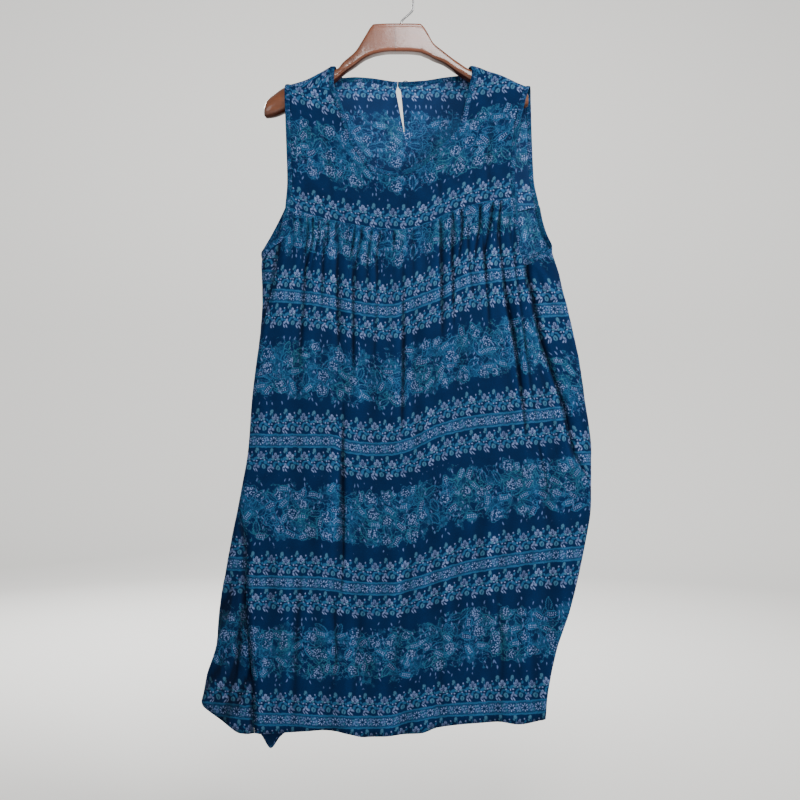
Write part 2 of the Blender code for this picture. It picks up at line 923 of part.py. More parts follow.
loop_radius = BUTTON_RADIUS + LOOP_WIRE + SEAM_GAP
loop_y = slit_end.y + BINDING_PROUD + SEAM_GAP + LOOP_WIRE
loop_start = slit_end.x - LOOP_REACH
loop_path = [(loop_start, loop_y, button_z + LOOP_SPREAD)]
for angle in np.linspace(2.5, -2.5, 14):
    loop_path.append(
        (
            button_x + loop_radius * math.cos(angle),
            loop_y,
            button_z + loop_radius * math.sin(angle),
        )
    )
loop_path.append((loop_start, loop_y, button_z - LOOP_SPREAD))
wire("button_loop", loop_path, LOOP_WIRE, cloth, resolution=1)

make_hanger()

# The hook: a straight shank, a bend towards the right and a half circle over the rail.
hook_path = [(HOOK_X, 0, HANGER_TOP - 8 * MM), (HOOK_X, 0, HANGER_TOP + 2 * MM)]
bend = Vector((HOOK_RADIUS - HOOK_X, 0, 0))
for step in np.linspace(0, 1, 7)[1:]:
    ease = smooth_step(step)
    hook_path.append(
        (HOOK_X + bend.x * ease, 0, HANGER_TOP + 2 * MM + (HOOK_SHANK - 2 * MM) * step)
    )
arc_height = HOOK_WIRE - HOOK_RADIUS
for angle in np.linspace(0, math.radians(HOOK_TURN), 17):
    hook_path.append(
        (HOOK_RADIUS * math.cos(angle), 0, arc_height + HOOK_RADIUS * math.sin(angle))
    )
wire("hook", hook_path, HOOK_WIRE, steel)
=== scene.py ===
"""The looks of a sleeveless dress on a wooden hanger: its printed cloth with gathers, folds
and bound edges, the lacquered wood and the wire hook, under plain studio light."""

import math

import bmesh
import bpy
import numpy as np
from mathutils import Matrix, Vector


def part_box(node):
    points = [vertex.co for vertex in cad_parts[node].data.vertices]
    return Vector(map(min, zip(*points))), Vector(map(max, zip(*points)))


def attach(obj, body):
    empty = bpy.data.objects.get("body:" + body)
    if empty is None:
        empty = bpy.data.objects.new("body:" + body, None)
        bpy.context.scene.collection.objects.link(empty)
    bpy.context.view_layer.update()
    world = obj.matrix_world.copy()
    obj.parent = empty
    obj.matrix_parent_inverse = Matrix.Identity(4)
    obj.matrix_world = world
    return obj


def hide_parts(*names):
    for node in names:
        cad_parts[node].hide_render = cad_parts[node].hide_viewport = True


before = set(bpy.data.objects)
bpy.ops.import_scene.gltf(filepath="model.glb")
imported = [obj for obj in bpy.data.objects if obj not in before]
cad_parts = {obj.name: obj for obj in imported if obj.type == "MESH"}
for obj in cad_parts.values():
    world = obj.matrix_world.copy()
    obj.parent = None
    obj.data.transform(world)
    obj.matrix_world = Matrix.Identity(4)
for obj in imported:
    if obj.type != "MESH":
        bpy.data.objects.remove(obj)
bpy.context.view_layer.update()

MM = 0.001

# Cloth and edges
SHELL = 0.7 * MM
EDGE_GAP = 0.1 * MM
SEAM_ALLOWANCE = 4.0 * MM
ROLL_START = 45 * MM
ROLL_BLEND = 130 * MM
STITCH = 2.7 * MM
FAR_FROM_STITCHES = 99.0

# Print, in millimetres: its repeat, and the distance between sprigs and between daisies
REPEAT = 224.0
SPRIG = 23.5
DAISY = 21.5

# Place of the bindings' cloth in the print
BINDING_PRINT = 87 * MM

# Steps of the grids of points
SHOULDER_STEPS = 24
FRONT_NECK_STEPS = 130
BACK_NECK_STEPS = 140
SKIRT_ROWS = 118

# Hook and top of the hanger's block
HOOK_RADIUS = 20.5 * MM
HOOK_WIRE = 1.6 * MM
HOOK_X = 1.5 * MM
HANGER_TOP = -58.5 * MM
HOOK_SHANK = 26 * MM
HOOK_TURN = 172


def table(names, *rows):
    """Columns of a table by name. Lengths are given in millimetres and kept in metres."""
    return dict(zip(names.split(), MM * np.array(rows, float).T))


# The flattened tube: outline seen from the front, radius of its side folds and how far
# its middle swells beyond them.
TUBE = table(
    "height left right fold swell",
    (-1230, -329, 229, 8, 12), (-1125, -314, 232, 8, 12), (-1046, -295, 248, 8, 12),
    (-967, -283, 273, 8, 12), (-880, -268, 293, 8, 12), (-809, -254, 302, 8, 11),
    (-730, -240, 302, 8, 11), (-651, -234, 292, 8, 10), (-564, -224, 277, 8, 10),
    (-493, -218, 261, 9, 9), (-420, -218, 241, 9, 8), (-382, -204, 231, 10, 8),
    (-344, -188, 223, 10, 8), (-303, -184, 215, 11, 7), (-224, -184, 212, 11, 7),
    (-120, -184, 210, 11, 7),
)

# Side seams, as cloth distance from the middle of the frame along the front.
SIDE_SEAMS = table(
    "height left right",
    (-1230, -227, 322), (-1177, -229, 319), (-1106, -232, 314), (-1044, -237, 307),
    (-965, -243, 305), (-879, -241, 306), (-839, -250, 305), (-780, -254, 296),
    (-730, -245, 272), (-667, -240, 259), (-604, -233, 237), (-549, -222, 220),
    (-494, -206, 209), (-440, -194, 199), (-400, -186, 198),
)

# Ridge of the shoulders over the hanger and the radius of the cloth's roll there.
SHOULDERS = table(
    "x height roll",
    (-182, -156, 16.5), (-155, -148, 16), (-126, -135, 14.5), (-106, -124, 13.5),
    (0, -114, 13.5), (115, -124, 13.5), (139, -132, 14.5), (158, -138, 15.5), (186, -151, 16.5),
    (207, -160, 16.5),
)

# Shoulder seams lie forward of the ridge: distance along the cloth from the ridge.
SHOULDER_SEAMS = table(
    "x forward", (-175, 13), (-111, 38), (120, 22), (160, 12), (200, 12)
)

NECK_ENDS = (-111 * MM, 120 * MM)

FRONT_NECK = table(
    "x height",
    (-111, -161), (-100, -183), (-86, -228), (-67, -263), (-44, -292), (-5, -301), (30, -288),
    (67, -259), (91, -236), (104, -211), (109, -188), (116, -157), (120, -141),
)

# Neck edge of the back yoke, as cloth distance below the ridge, negative over to the front.
BACK_NECK = table(
    "x below",
    (-111, -38), (-110, -18), (-108.5, 0), (-106, 16), (-100, 26), (-90, 31), (-75, 32),
    (-51, 36), (0, 45), (35, 42), (73, 33), (90, 29), (104, 25), (112, 15), (116.5, 0),
    (118.5, -11), (120, -22),
)

FRONT_ARMHOLES = table(
    "left_height left right_height right",
    (-350, -173.5, -335, 176.5), (-306, -170, -299, 173), (-244, -171.5, -260, 175),
    (-197, -173, -227, 179.5), (-180, -173.5, -191, 187), (-159, -174, -157, 196),
)

BACK_ARMHOLES = table(
    "left_height left right_height right",
    (-342, -169.5, -342, 214), (-301, -166.5, -301, 206), (-221, -166.5, -222, 203),
    (-166, -171, -167, 201.5), (-146, -173, -146, 199), (-131, -174, -131, 196),
)

FRONT_YOKE_SEAM = table(
    "x height",
    (-173.5, -349.5), (-130, -363.5), (-78, -376), (0, -385), (47, -373), (78, -357),
    (125, -343), (176.5, -334),
)

BACK_YOKE_SEAM = table(
    "x height",
    (-169.5, -342), (-80, -360), (20, -367), (120, -360), (214, -342),
)

# Top of the skirt panels below the armholes, from each yoke seam down to the side seams.
FRONT_UNDERARMS = table(
    "x height",
    (-186, -400.5), (-180.5, -383), (-175.5, -359), (-173.5, -349.5), (176.5, -334),
    (177.5, -361), (182, -392), (189.5, -422), (198, -438),
)

BACK_UNDERARMS = table(
    "x height",
    (-245, -400.5), (-242, -405), (-223, -428), (-210, -419), (-201, -405), (-190, -385),
    (-178, -361), (-169.5, -342), (214, -342), (219, -368), (226, -390), (233, -403),
    (245, -415.5), (266, -426), (283, -433), (301, -438),
)

FRONT_HEM = table(
    "x height",
    (-228, -1175), (-169, -1171), (-125, -1167), (-78, -1173), (-55, -1177), (0, -1174),
    (34, -1171), (59, -1163), (109, -1157), (156, -1156), (188, -1160), (231, -1155),
    (318, -1160),
)

BACK_HEM = table(
    "x height",
    (-423, -1175), (-403, -1174), (-380, -1163), (-357, -1149), (-334, -1135), (-318, -1124),
    (-290, -1134), (-250, -1160), (-221, -1184), (-206, -1206), (-191, -1188), (-165, -1172),
    (0, -1168), (149, -1160),
)

# Large folds: a line down the cloth, its depth (inwards, or outwards where negative) and
# half its width.
FRONT_FOLDS = table(
    "top_x top bottom_x bottom depth half_width",
    (152, -338, 205, -730, 4.5, 11), (203, -700, 236, -850, 1.5, 14),
    (141, -345, 188, -640, 2.5, 9), (226, -560, 254, -715, -3.0, 9),
    (64, -362, 70, -560, 3.0, 10), (82, -358, 82, -540, 2.5, 9), (5, -480, 5, -715, 2.5, 12),
    (-73, -400, -73, -620, 2.5, 11), (-95, -378, -95, -575, 2.5, 10),
    (-89, -680, -97, -965, 3.0, 12), (-150, -370, -160, -600, 2.0, 12),
    (120, -800, 150, -1150, 2.5, 18), (20, -860, -20, -1150, 2.5, 18),
    (-170, -900, -180, -1170, -2.5, 16), (200, -950, 200, -1150, -3.0, 16),
)

BACK_FOLDS = table(
    "top_x top bottom_x bottom depth half_width",
    (-120, -350, -130, -720, 3.5, 12), (-60, -360, -75, -640, 2.5, 11),
    (-10, -380, 5, -800, 3.0, 13), (70, -362, 95, -700, 3.0, 12),
    (140, -355, 175, -760, 3.5, 13), (190, -420, 240, -800, 3.0, 13),
    (-150, -760, -190, -1150, 3.5, 16), (-40, -820, -70, -1160, -3.0, 18),
    (80, -850, 90, -1150, 3.0, 18), (-376, -1000, -383, -1140, 4.0, 10),
)

# Valleys along the side seams.
SEAM_VALLEYS = table(
    "height left right",
    (-1230, 5, 0), (-1100, 6, 0), (-965, 6, 0), (-870, 3, 0), (-790, 0, 0), (-740, 0, 3),
    (-604, 0, 6), (-530, 2, 7), (-470, 4, 7), (-400, 2, 3),
)
SEAM_VALLEY_WIDTH = 11 * MM

# Body of the hanger, from the left tip to the right one. Its arms carry the shoulders.
HANGER = table(
    "x top bottom depth",
    (-214, -188, -203, 6), (-210, -179, -206, 10), (-200, -170, -205, 12.5),
    (-182, -158.2, -198, 14), (-155, -149.8, -182, 13.6), (-126, -137.2, -166, 12.2),
    (-106, -131.5, -151, 10.5), (-98, -128.5, -145, 10.2), (-90, -119, -138, 10.5),
    (-70, -101.5, -124, 10.5), (-61, -88, -117, 10.5), (-53, -75, -112, 10.5),
    (-46, -64, -109, 10.5), (-41, -59.5, -107, 10.5), (-15, -58.5, -103, 10.5),
    (10, -58.5, -103, 10.5), (32, -59, -105, 10.5), (37, -63.5, -107, 10.5),
    (44.5, -75, -110, 10.5), (52, -88.5, -114, 10.5), (68, -101.5, -121, 10.5),
    (90, -117.5, -136, 10.5), (113, -131, -150, 11), (139, -134, -161, 12.2),
    (158, -140, -171, 13), (186, -153, -186, 13.8), (196, -160, -190, 12),
    (202, -169, -187, 7.5),
)

# Stripes of the print down the front of the skirt: their heights along the panel.
FRONT_STRIPES = table(
    "x first second third fourth",
    (-300, -483, -714, -936, -1150), (-236, -486, -715, -937, -1151),
    (-188, -487, -715, -937, -1151), (-150, -490, -715, -937, -1152),
    (-110, -497, -715, -939, -1154), (-80, -504, -724, -944, -1154),
    (-40, -511, -728, -946, -1154), (-12, -512, -727, -946, -1152),
    (16, -502, -720, -940, -1145), (62, -485, -698, -926, -1137),
    (109, -463, -687, -912, -1134), (180, -452, -679, -901, -1134),
    (234, -445, -674, -895, -1132), (300, -436, -668, -890, -1130),
)
BACK_STRIPES = table(
    "x first second third fourth",
    (-450, -470, -695, -920, -1145), (-250, -457, -682, -907, -1132),
    (0, -482, -707, -932, -1157), (260, -507, -741, -966, -1190),
    (450, -515, -745, -970, -1195),
)


def follow(across, up, at):
    """Smooth curve through the rows of a table, with no overshoot."""
    order = np.argsort(across)
    across, up = across[order], up[order]
    step = np.diff(across)
    rise = np.diff(up) / step
    slope = np.zeros(len(up))
    product = rise[:-1] * rise[1:]
    same = product > 0
    slope[1:-1][same] = 2 * product[same] / (rise[:-1] + rise[1:])[same]
    slope[0], slope[-1] = rise[0], rise[-1]
    i = np.clip(np.searchsorted(across, at) - 1, 0, len(step) - 1)
    t = np.clip((at - across[i]) / step[i], 0, 1)
    return (
        up[i] * (1 + 2 * t) * (1 - t) ** 2
        + up[i + 1] * (3 - 2 * t) * t**2
        + step[i] * slope[i] * t * (1 - t) ** 2
        - step[i] * slope[i + 1] * t**2 * (1 - t)
    )


def look_up(rows, by, names, at):
    """Smooth curves through the named columns of a table, at places in its column by."""
    return [follow(rows[by], rows[name], at) for name in names.split()]


def smooth_step(t):
    t = np.clip(t, 0, 1)
    return t * t * (3 - 2 * t)


def bump(t):
    """One soft bump between -1 and 1."""
    return np.where(np.abs(t) < 1, np.cos(np.clip(t, -1, 1) * math.pi / 2) ** 2, 0)


def tube_at(z):
    """Middle, half the flat stretch, radius of the side folds and swell at a height."""
    left, right, fold, swell = look_up(TUBE, "height", "left right fold swell", z)
    return (left + right) / 2, (right - left) / 2 - fold, fold, swell


def tube_point(side, along, z):
    """Point and outward direction on the tube. side is -1 on the front and 1 on the back, and
    along is the distance across that side, going on round the folds."""
    middle, flat, fold, swell = tube_at(z)
    away = np.abs(along - middle)
    angle = np.clip((away - flat) / fold, 0, math.pi)
    past = np.maximum(away - flat - fold * math.pi, 0)
    out = np.where(away < flat, away, flat + fold * np.sin(angle)) - past
    depth = np.cos(angle)
    sign = np.sign(along - middle)
    width = 1 - np.clip(out / (flat + fold), 0, 1) ** 2
    x = middle + sign * out
    y = side * depth * (fold + swell * width**1.2)
    normal = np.stack([sign * np.sin(angle), side * depth, 0 * depth], -1)
    return np.stack([x, y, z + 0 * x], -1), normal


def other_side(along, z):
    """The same place on the tube, measured across the other side."""
    middle, flat, fold, _ = tube_at(z)
    return middle + np.sign(along - middle) * (2 * flat + math.pi * fold) - (along - middle)


def ridge_at(x):
    """Height of the shoulder ridge, its roll and the cloth height that it stands for."""
    height, roll = look_up(SHOULDERS, "x", "height roll", x)
    return height, roll, height + (math.pi / 2 - 1) * roll


def yoke_point(side, x, cloth_height):
    """Point and outward direction on a yoke, which goes over the shoulder where cloth_height
    passes the ridge."""
    height, roll, top = ridge_at(x)
    below = top - cloth_height
    angle = np.clip(below / roll, -math.pi / 2, math.pi / 2)
    straight = np.maximum(np.abs(below) - roll * math.pi / 2, 0)
    z = height - roll * (1 - np.cos(angle)) - straight
    middle, flat, fold, swell = tube_at(z)
    away = np.abs(x - middle)
    turn = np.cos(np.arcsin(np.clip((away - flat) / fold, 0, 0.98)))
    width = 1 - np.clip(away / (flat + fold), 0, 1) ** 2
    hanging = (fold + swell * width**1.2) * turn
    blend = smooth_step((height - z - ROLL_START) / ROLL_BLEND)
    y = side * (roll + (hanging - roll) * blend) * np.sin(angle)
    normal = np.stack([0 * angle, side * np.sin(angle), np.cos(angle)], -1)
    return np.stack([x + 0 * y, y, z], -1), normal


def panel_grid(top, left, right, bottom, vs):
    """Columns of a panel from its top edge, a row of (x, height), down to its bottom edge. Each
    column keeps its share of the way from the left edge to the right one."""
    top_x, top_height = top
    share = (top_x - left(top_height)) / (right(top_height) - left(top_height))
    share = (share - share[0]) / (share[-1] - share[0])

    def across(height):
        return left(height) + (right(height) - left(height)) * share

    low = bottom(top_x)
    for _ in range(12):
        low = bottom(across(low))
    height = top_height + (low - top_height) * vs[:, None]
    return across(height), height, share


def spaced(across, up, count, weight=0.4):
    """Places that space count steps evenly along an edge, heights counting for less."""
    fine = np.linspace(across[0], across[-1], 3000)
    rise = np.abs(np.diff(up(fine)))
    length = np.concatenate([[0], np.cumsum(np.abs(np.diff(fine)) + weight * rise)])
    return np.interp(np.linspace(0, length[-1], count + 1), length, fine)


def front_top(x):
    """Neck and shoulder edge of the front yoke, as cloth height."""
    seam = ridge_at(x)[2] - follow(SHOULDER_SEAMS["x"], SHOULDER_SEAMS["forward"], x)
    neck = follow(FRONT_NECK["x"], FRONT_NECK["height"], x)
    inside = (x > FRONT_NECK["x"][0]) & (x < FRONT_NECK["x"][-1])
    return np.where(inside, np.minimum(neck, seam), seam)


def back_top(x):
    """Neck and shoulder edge of the back yoke, as cloth height."""
    seam = follow(SHOULDER_SEAMS["x"], SHOULDER_SEAMS["forward"], x) - EDGE_GAP
    neck = -follow(BACK_NECK["x"], BACK_NECK["below"], x)
    inside = (x > BACK_NECK["x"][0]) & (x < BACK_NECK["x"][-1])
    return ridge_at(x)[2] + np.where(inside, np.minimum(neck, seam), seam)


def waver(x, z, seed, size):
    """Soft uneven waves between -1 and 1, about size across, the same on each run."""
    total = 0 * x
    for k in range(5):
        turn = seed * 1.7 + k * 2.39996
        way_x, way_z = math.cos(turn), math.sin(turn)
        total = total + np.sin(
            2 * math.pi * (x * way_x + z * way_z) / (size * (0.7 + 0.17 * k)) + seed + 1.3 * k
        )
    return total / 5


def ripple(x, z, seed, across, down):
    """Uneven waves that run down the cloth: about across wide and down long."""
    bend = 0.35 * across * waver(x, z, seed + 3, down)
    return waver((x + bend) * (down / across), z, seed, down)


def crease(x, z, line, depth, half_width, sharp):
    """A fold that sinks along a line of (x, height) points and fades at its ends."""
    xs, zs = np.array(line).T * MM
    at = follow(zs, xs, np.clip(z, zs.min(), zs.max()))
    ends = (zs.max() - z) / (zs.max() - zs.min())
    fade = np.clip(bump(2 * ends - 1), 0, 1) ** 0.35
    t = np.abs(x - at) / (half_width * MM)
    shape = np.exp(-((t * 1.6) ** sharp))
    return depth * MM * shape * fade * ((ends > 0) & (ends < 1))


def stripes_height(stripes, x, z):
    """Height in the print, in metres: 0 in the first stripe and one repeat less in each
    stripe below it."""
    first, second, third, fourth = look_up(stripes, "x", "first second third fourth", x)
    scale = REPEAT * MM
    v = np.where(z > second, (z - first) / (first - second) * scale, 0)
    v = np.where(z > first, z - first, v)
    v = np.where((z <= second) & (z > third), -scale + (z - second) / (second - third) * scale, v)
    return np.where(z <= third, -2 * scale + (z - third) / (third - fourth) * scale, v)


def hollows(sink):
    """How far the cloth lies in a crease: over 0 below its surroundings, under 0 above them."""
    reach = 6
    padded = np.pad(sink, ((0, 0), (reach + 1, reach)), mode="edge")
    total = np.cumsum(padded, axis=1)
    around = (total[:, 2 * reach + 1 :] - total[:, : -2 * reach - 1]) / (2 * reach + 1)
    return np.clip((sink - around) / (1.6 * MM), -0.35, 1)


def keep(mesh, mark, values):
    """Keeps a number on each corner of a mesh, for its material."""
    kept = mesh.attributes.new(mark, "FLOAT", "POINT")
    kept.data.foreach_set("value", np.ascontiguousarray(values.reshape(-1), np.float32))


def cloth_mesh(name, corners, faces, uv, marks):
    """A smooth mesh that keeps its place in the print, uv, and further marks on its corners."""
    mesh = bpy.data.meshes.new(name)
    mesh.from_pydata(corners.tolist(), [], faces)
    places = uv.reshape(-1, 2)[[loop.vertex_index for loop in mesh.loops]]
    mesh.uv_layers.new(name="cloth").data.foreach_set("uv", places.reshape(-1))
    for mark, values in marks.items():
        keep(mesh, mark, values)
    mesh.update()
    mesh.shade_smooth()
    return mesh


def smooth_mesh(shape, mesh):
    """Writes a bmesh into a mesh, its faces turned outwards and smooth."""
    bmesh.ops.recalc_face_normals(shape, faces=shape.faces)
    shape.to_mesh(mesh)
    shape.free()
    mesh.shade_smooth()
    return mesh


def link(name, data, material=None):
    """An object of the scene that shows a mesh, a curve, a light or the camera."""
    if material:
        data.materials.append(material)
    piece = bpy.data.objects.new(name, data)
    bpy.context.scene.collection.objects.link(piece)
    return piece


def new_sheet(name, points, normals, sink, uv, marks, side, holes=None):
    """A thin cloth shell through a grid of points. uv is the place in the print, and marks are
    further numbers kept on the corners for the materials."""
    rows, columns = points.shape[:2]
    # Painted shade and light: the cloth's colour is later painted darker in its creases and on the
    # strip that turns under, and lighter on the ridges between creases.
    marks["painted_shade"] = np.clip(hollows(sink) + marks.pop("shade", 0), -0.35, 1)
    corners = (points - normals * sink[..., None]).reshape(-1, 3)
    index = np.arange(rows * columns).reshape(rows, columns)
    around = [index[1:, :-1], index[1:, 1:], index[:-1, 1:], index[:-1, :-1]]
    quads = np.stack(around, -1).reshape(-1, 4)
    if holes is not None:
        quads = quads[~holes.reshape(-1)]
    if side > 0:
        quads = quads[:, ::-1]
    mesh = cloth_mesh(name, corners, quads.tolist(), uv, marks)
    piece = link(name, mesh, print_right)
    mesh.materials.append(print_wrong)
    wall = piece.modifiers.new("cloth wall", "SOLIDIFY")
    wall.thickness = SHELL
    wall.offset = -1
    wall.material_offset = 1
    wall.material_offset_rim = 0
    return piece


class Graph:
    """Builds a material's or a group's nodes, with short calls for the common ones."""

    def __init__(self, tree):
        self.tree = tree

    def put(self, value, socket):
        if isinstance(value, bpy.types.NodeSocket):
            self.tree.links.new(value, socket)
        else:
            socket.default_value = value

    def node(self, kind, inputs=None, **settings):
        """A new node with its settings, and a value or a link on each named input."""
        made = self.tree.nodes.new(kind)
        for name, value in settings.items():
            setattr(made, name, value)
        for name, value in (inputs or {}).items():
            self.put(value, made.inputs[name])
        return made

    def math(self, operation, *values, clamp=False):
        made = self.node("ShaderNodeMath", operation=operation, use_clamp=clamp)
        for value, socket in zip(values, made.inputs):
            self.put(value, socket)
        return made.outputs[0]

    def add(self, a, b):
        return self.math("ADD", a, b)

    def minus(self, a, b):
        return self.math("SUBTRACT", a, b)

    def times(self, a, b):
        return self.math("MULTIPLY", a, b)

    def scaled(self, value, factor, plus):
        return self.math("MULTIPLY_ADD", value, factor, plus)

    def clamped(self, value, factor, plus):
        """Scaled, and kept between 0 and 1."""
        return self.math("MULTIPLY_ADD", value, factor, plus, clamp=True)

    def absolute(self, value):
        return self.math("ABSOLUTE", value)

    def sine(self, value):
        return self.math("SINE", value)

    def over(self, value, limit):
        return self.math("GREATER_THAN", value, limit)

    def wrap(self, value, length):
        return self.math("FLOORED_MODULO", value, length)

    def from_middle(self, value, length):
        """How far value is from the nearest whole number of lengths."""
        return self.minus(self.wrap(self.add(value, length / 2), length), length / 2)

    def whole(self, value, length):
        """How many whole lengths lie in value."""
        return self.math("FLOOR", self.math("DIVIDE", value, length))

    def most(self, *values):
        total = values[0]
        for value in values[1:]:
            total = self.math("MAXIMUM", total, value)
        return total

    def soft(self, value, edge, slope):
        """1 where value is under edge, 0 above it, with a soft step."""
        return self.clamped(value, -slope, edge * slope + 0.5)

    def near(self, value, middle, reach, slope):
        """1 where value is within reach of middle, with soft steps on both sides."""
        return self.soft(self.absolute(self.minus(value, middle)), reach, slope)

    def mix(self, factor, first, second, share=1):
        """The second colour over the first one, as strong as factor times share."""
        factor = factor if share == 1 else self.times(factor, share)
        inputs = {"Factor": factor, "A": first, "B": second}
        return self.node("ShaderNodeMix", inputs, data_type="RGBA").outputs["Result"]

    def point(self, x, y):
        return self.node("ShaderNodeCombineXYZ", {"X": x, "Y": y}).outputs[0]

    def parts(self, vector):
        made = self.node("ShaderNodeSeparateXYZ", {"Vector": vector})
        return made.outputs[0], made.outputs[1]

    def vector(self, operation, *values):
        made = self.node("ShaderNodeVectorMath", operation=operation)
        for value, socket in zip(values, made.inputs):
            self.put(value, socket)
        return made.outputs["Value" if operation == "LENGTH" else "Vector"]

    def enlarge(self, vector, factor):
        made = self.node("ShaderNodeVectorMath", {"Scale": factor}, operation="SCALE")
        self.put(vector, made.inputs[0])
        return made.outputs["Vector"]

    def turn(self, vector, angle):
        inputs = {"Vector": vector, "Angle": angle}
        return self.node("ShaderNodeVectorRotate", inputs, rotation_type="Z_AXIS").outputs[0]

    def stretch(self, vector, *scale):
        return self.node("ShaderNodeMapping", {"Vector": vector, "Scale": scale}).outputs[0]

    def spot(self, place, x, y, rx, ry, degrees=0, edge=0.8):
        """1 inside an ellipse, with a soft rim. Sizes are in millimetres."""
        inputs = {
            "Vector": place,
            "Location": (x, y, 0),
            "Rotation": (0, 0, math.radians(degrees)),
            "Scale": (rx, ry, 1),
        }
        local = self.node("ShaderNodeMapping", inputs, vector_type="TEXTURE")
        away = self.vector("LENGTH", local.outputs[0])
        return self.soft(away, 1, min(rx, ry) / edge)

    def spots(self, place, rows):
        return self.most(*(self.spot(place, *row) for row in rows))

    def noise(self, place, scale, detail=2.0, rough=0.5):
        inputs = {"Vector": place, "Scale": scale, "Detail": detail, "Roughness": rough}
        made = self.node("ShaderNodeTexNoise", inputs, noise_dimensions="2D")
        return made.outputs["Fac"], made.outputs["Color"]

    def cloud(self, place, scale, **inputs):
        """Noise in three dimensions."""
        inputs = {"Vector": place, "Scale": scale, **inputs}
        return self.node("ShaderNodeTexNoise", inputs).outputs["Fac"]

    def cells(self, place, size, feature="F1", randomness=1.0):
        inputs = {"Vector": place, "Scale": 1 / size, "Randomness": randomness}
        made = self.node(
            "ShaderNodeTexVoronoi", inputs, voronoi_dimensions="2D", feature=feature
        )
        return made.outputs

    def attribute(self, name):
        return self.node("ShaderNodeAttribute", attribute_name=name).outputs["Fac"]

    def lit(self, colour, value):
        inputs = {"Color": colour, "Value": value}
        return self.node("ShaderNodeHueSaturation", inputs).outputs[0]

    def bump(self, height, strength, distance):
        inputs = {"Height": height, "Strength": strength, "Distance": distance}
        return self.node("ShaderNodeBump", inputs).outputs[0]


# Colours of the print
GROUND = (0.0010, 0.0165, 0.066, 1)
GROUND_DEEP = (0.0006, 0.0115, 0.050, 1)
TEAL = (0.0055, 0.052, 0.132, 1)
TEAL_BRIGHT = (0.019, 0.096, 0.210, 1)
TEAL_GREEN = (0.026, 0.112, 0.170, 1)
BUD = (0.048, 0.142, 0.232, 1)
LILAC = (0.125, 0.205, 0.430, 1)
PALE = (0.235, 0.320, 0.590, 1)

# Turn of the motifs that are scattered by chance, and how far their cells are shifted
FULL_TURN = 6.283
LEAF_SHIFT = (31.0, 17.0, 0.0)
PETAL_SHIFT = (5.0, 71.0, 0.0)

# Spots of a sprig, and of the stripe between two daisies: middle and half sizes in
# millimetres, turn in degrees and, in some, how soft the rim is.
LEAVES = (
    (3.5, 20, 4.2, 2.3, 35), (20, 14, 3.8, 2.2, -40), (10.5, 11.5, 3.8, 2.0, 70),
    (21, 27, 2.6, 1.6, 60), (13.5, 15.5, 3.0, 1.5, 10), (7.3, 28, 0.7, 5.0, -14, 0.6),
    (2, 12, 2.4, 1.5, -30), (22, 20, 2.2, 1.2, -70),
)
BUDS = (
    (6, 35, 2.4, 3.3, -8), (4.0, 31.0, 1.4, 1.9, 30), (17, 7.6, 3.5, 4.0, 10),
    (16.6, 20.8, 2.6, 1.9, 20), (8.4, 20.6, 2.4, 1.8, -20),
)
BUD_LINE = (17.6, 7.4, 0.6, 3.2, -20, 0.5)
TREFOILS = (
    (9.2, 24.6, 2.2, 3.0, 42), (15.8, 24.4, 2.2, 3.0, -42), (12.5, 28.6, 2.3, 2.9, 0),
    (2.8, 7.6, 2.9, 1.6, 40), (8.2, 7.2, 2.9, 1.6, -40), (5.4, 10.8, 1.7, 2.4, 0),
)
VEINS = (
    (12.5, 27.4, 0.5, 1.7, 0, 0.5), (10.2, 24.0, 0.5, 1.5, 42, 0.5),
    (14.8, 23.8, 0.5, 1.5, -42, 0.5), (5.4, 9.6, 0.5, 1.4, 0, 0.5),
    (17.0, 6.6, 0.5, 2.4, 10, 0.5),
)
DOTS = (
    (12.4, 19.8, 1.2, 1.1), (5.8, 16.4, 1.2, 1.0), (17.6, 17.2, 1.2, 1.0),
    (1.2, 16.2, 1.1, 1.1), (20.6, 31.4, 1.0, 1.2), (1.8, 2.4, 3.0, 0.85, 125),
    (6.0, 2.0, 3.0, 0.85, 125),
)
SPRAYS = ((-2.6, 3.6, 2.4, 1.2, 40), (2.6, -3.6, 2.4, 1.2, 40))
BITS = (
    (-1.9, -0.6, 1.9, 1.1, 60), (2.2, 0.8, 1.9, 1.1, 60), (0.4, 4.9, 1.1, 1.3),
    (-0.6, -4.6, 1.1, 1.3),
)


def garland(graph, ground, within, lean, mottled):
    """A row of sprigs with leaves, buds and trefoils on each side of the stripe."""
    upper = graph.over(within, 0.0)
    up = graph.minus(within, graph.scaled(upper, 60.0, -49.0))
    number = graph.whole(lean, SPRIG)
    dance = graph.times(graph.sine(graph.times(number, 2.4)), 1.2)
    unit = graph.point(graph.wrap(lean, SPRIG), graph.add(up, dance))
    tone = graph.scaled(graph.sine(graph.times(number, 1.9)), 0.18, 0.52)
    tone = graph.times(tone, graph.scaled(mottled, 1.1, 0.35))
    colour = graph.mix(graph.spots(unit, LEAVES), ground, TEAL_BRIGHT, 0.85)
    colour = graph.mix(graph.spots(unit, BUDS), colour, BUD, 0.9)
    colour = graph.mix(graph.spot(unit, *BUD_LINE), colour, TEAL)
    colour = graph.mix(graph.times(graph.spots(unit, TREFOILS), tone), colour, PALE)
    colour = graph.mix(graph.spots(unit, VEINS), colour, GROUND)
    return graph.mix(graph.spots(unit, DOTS), colour, PALE, 0.7)


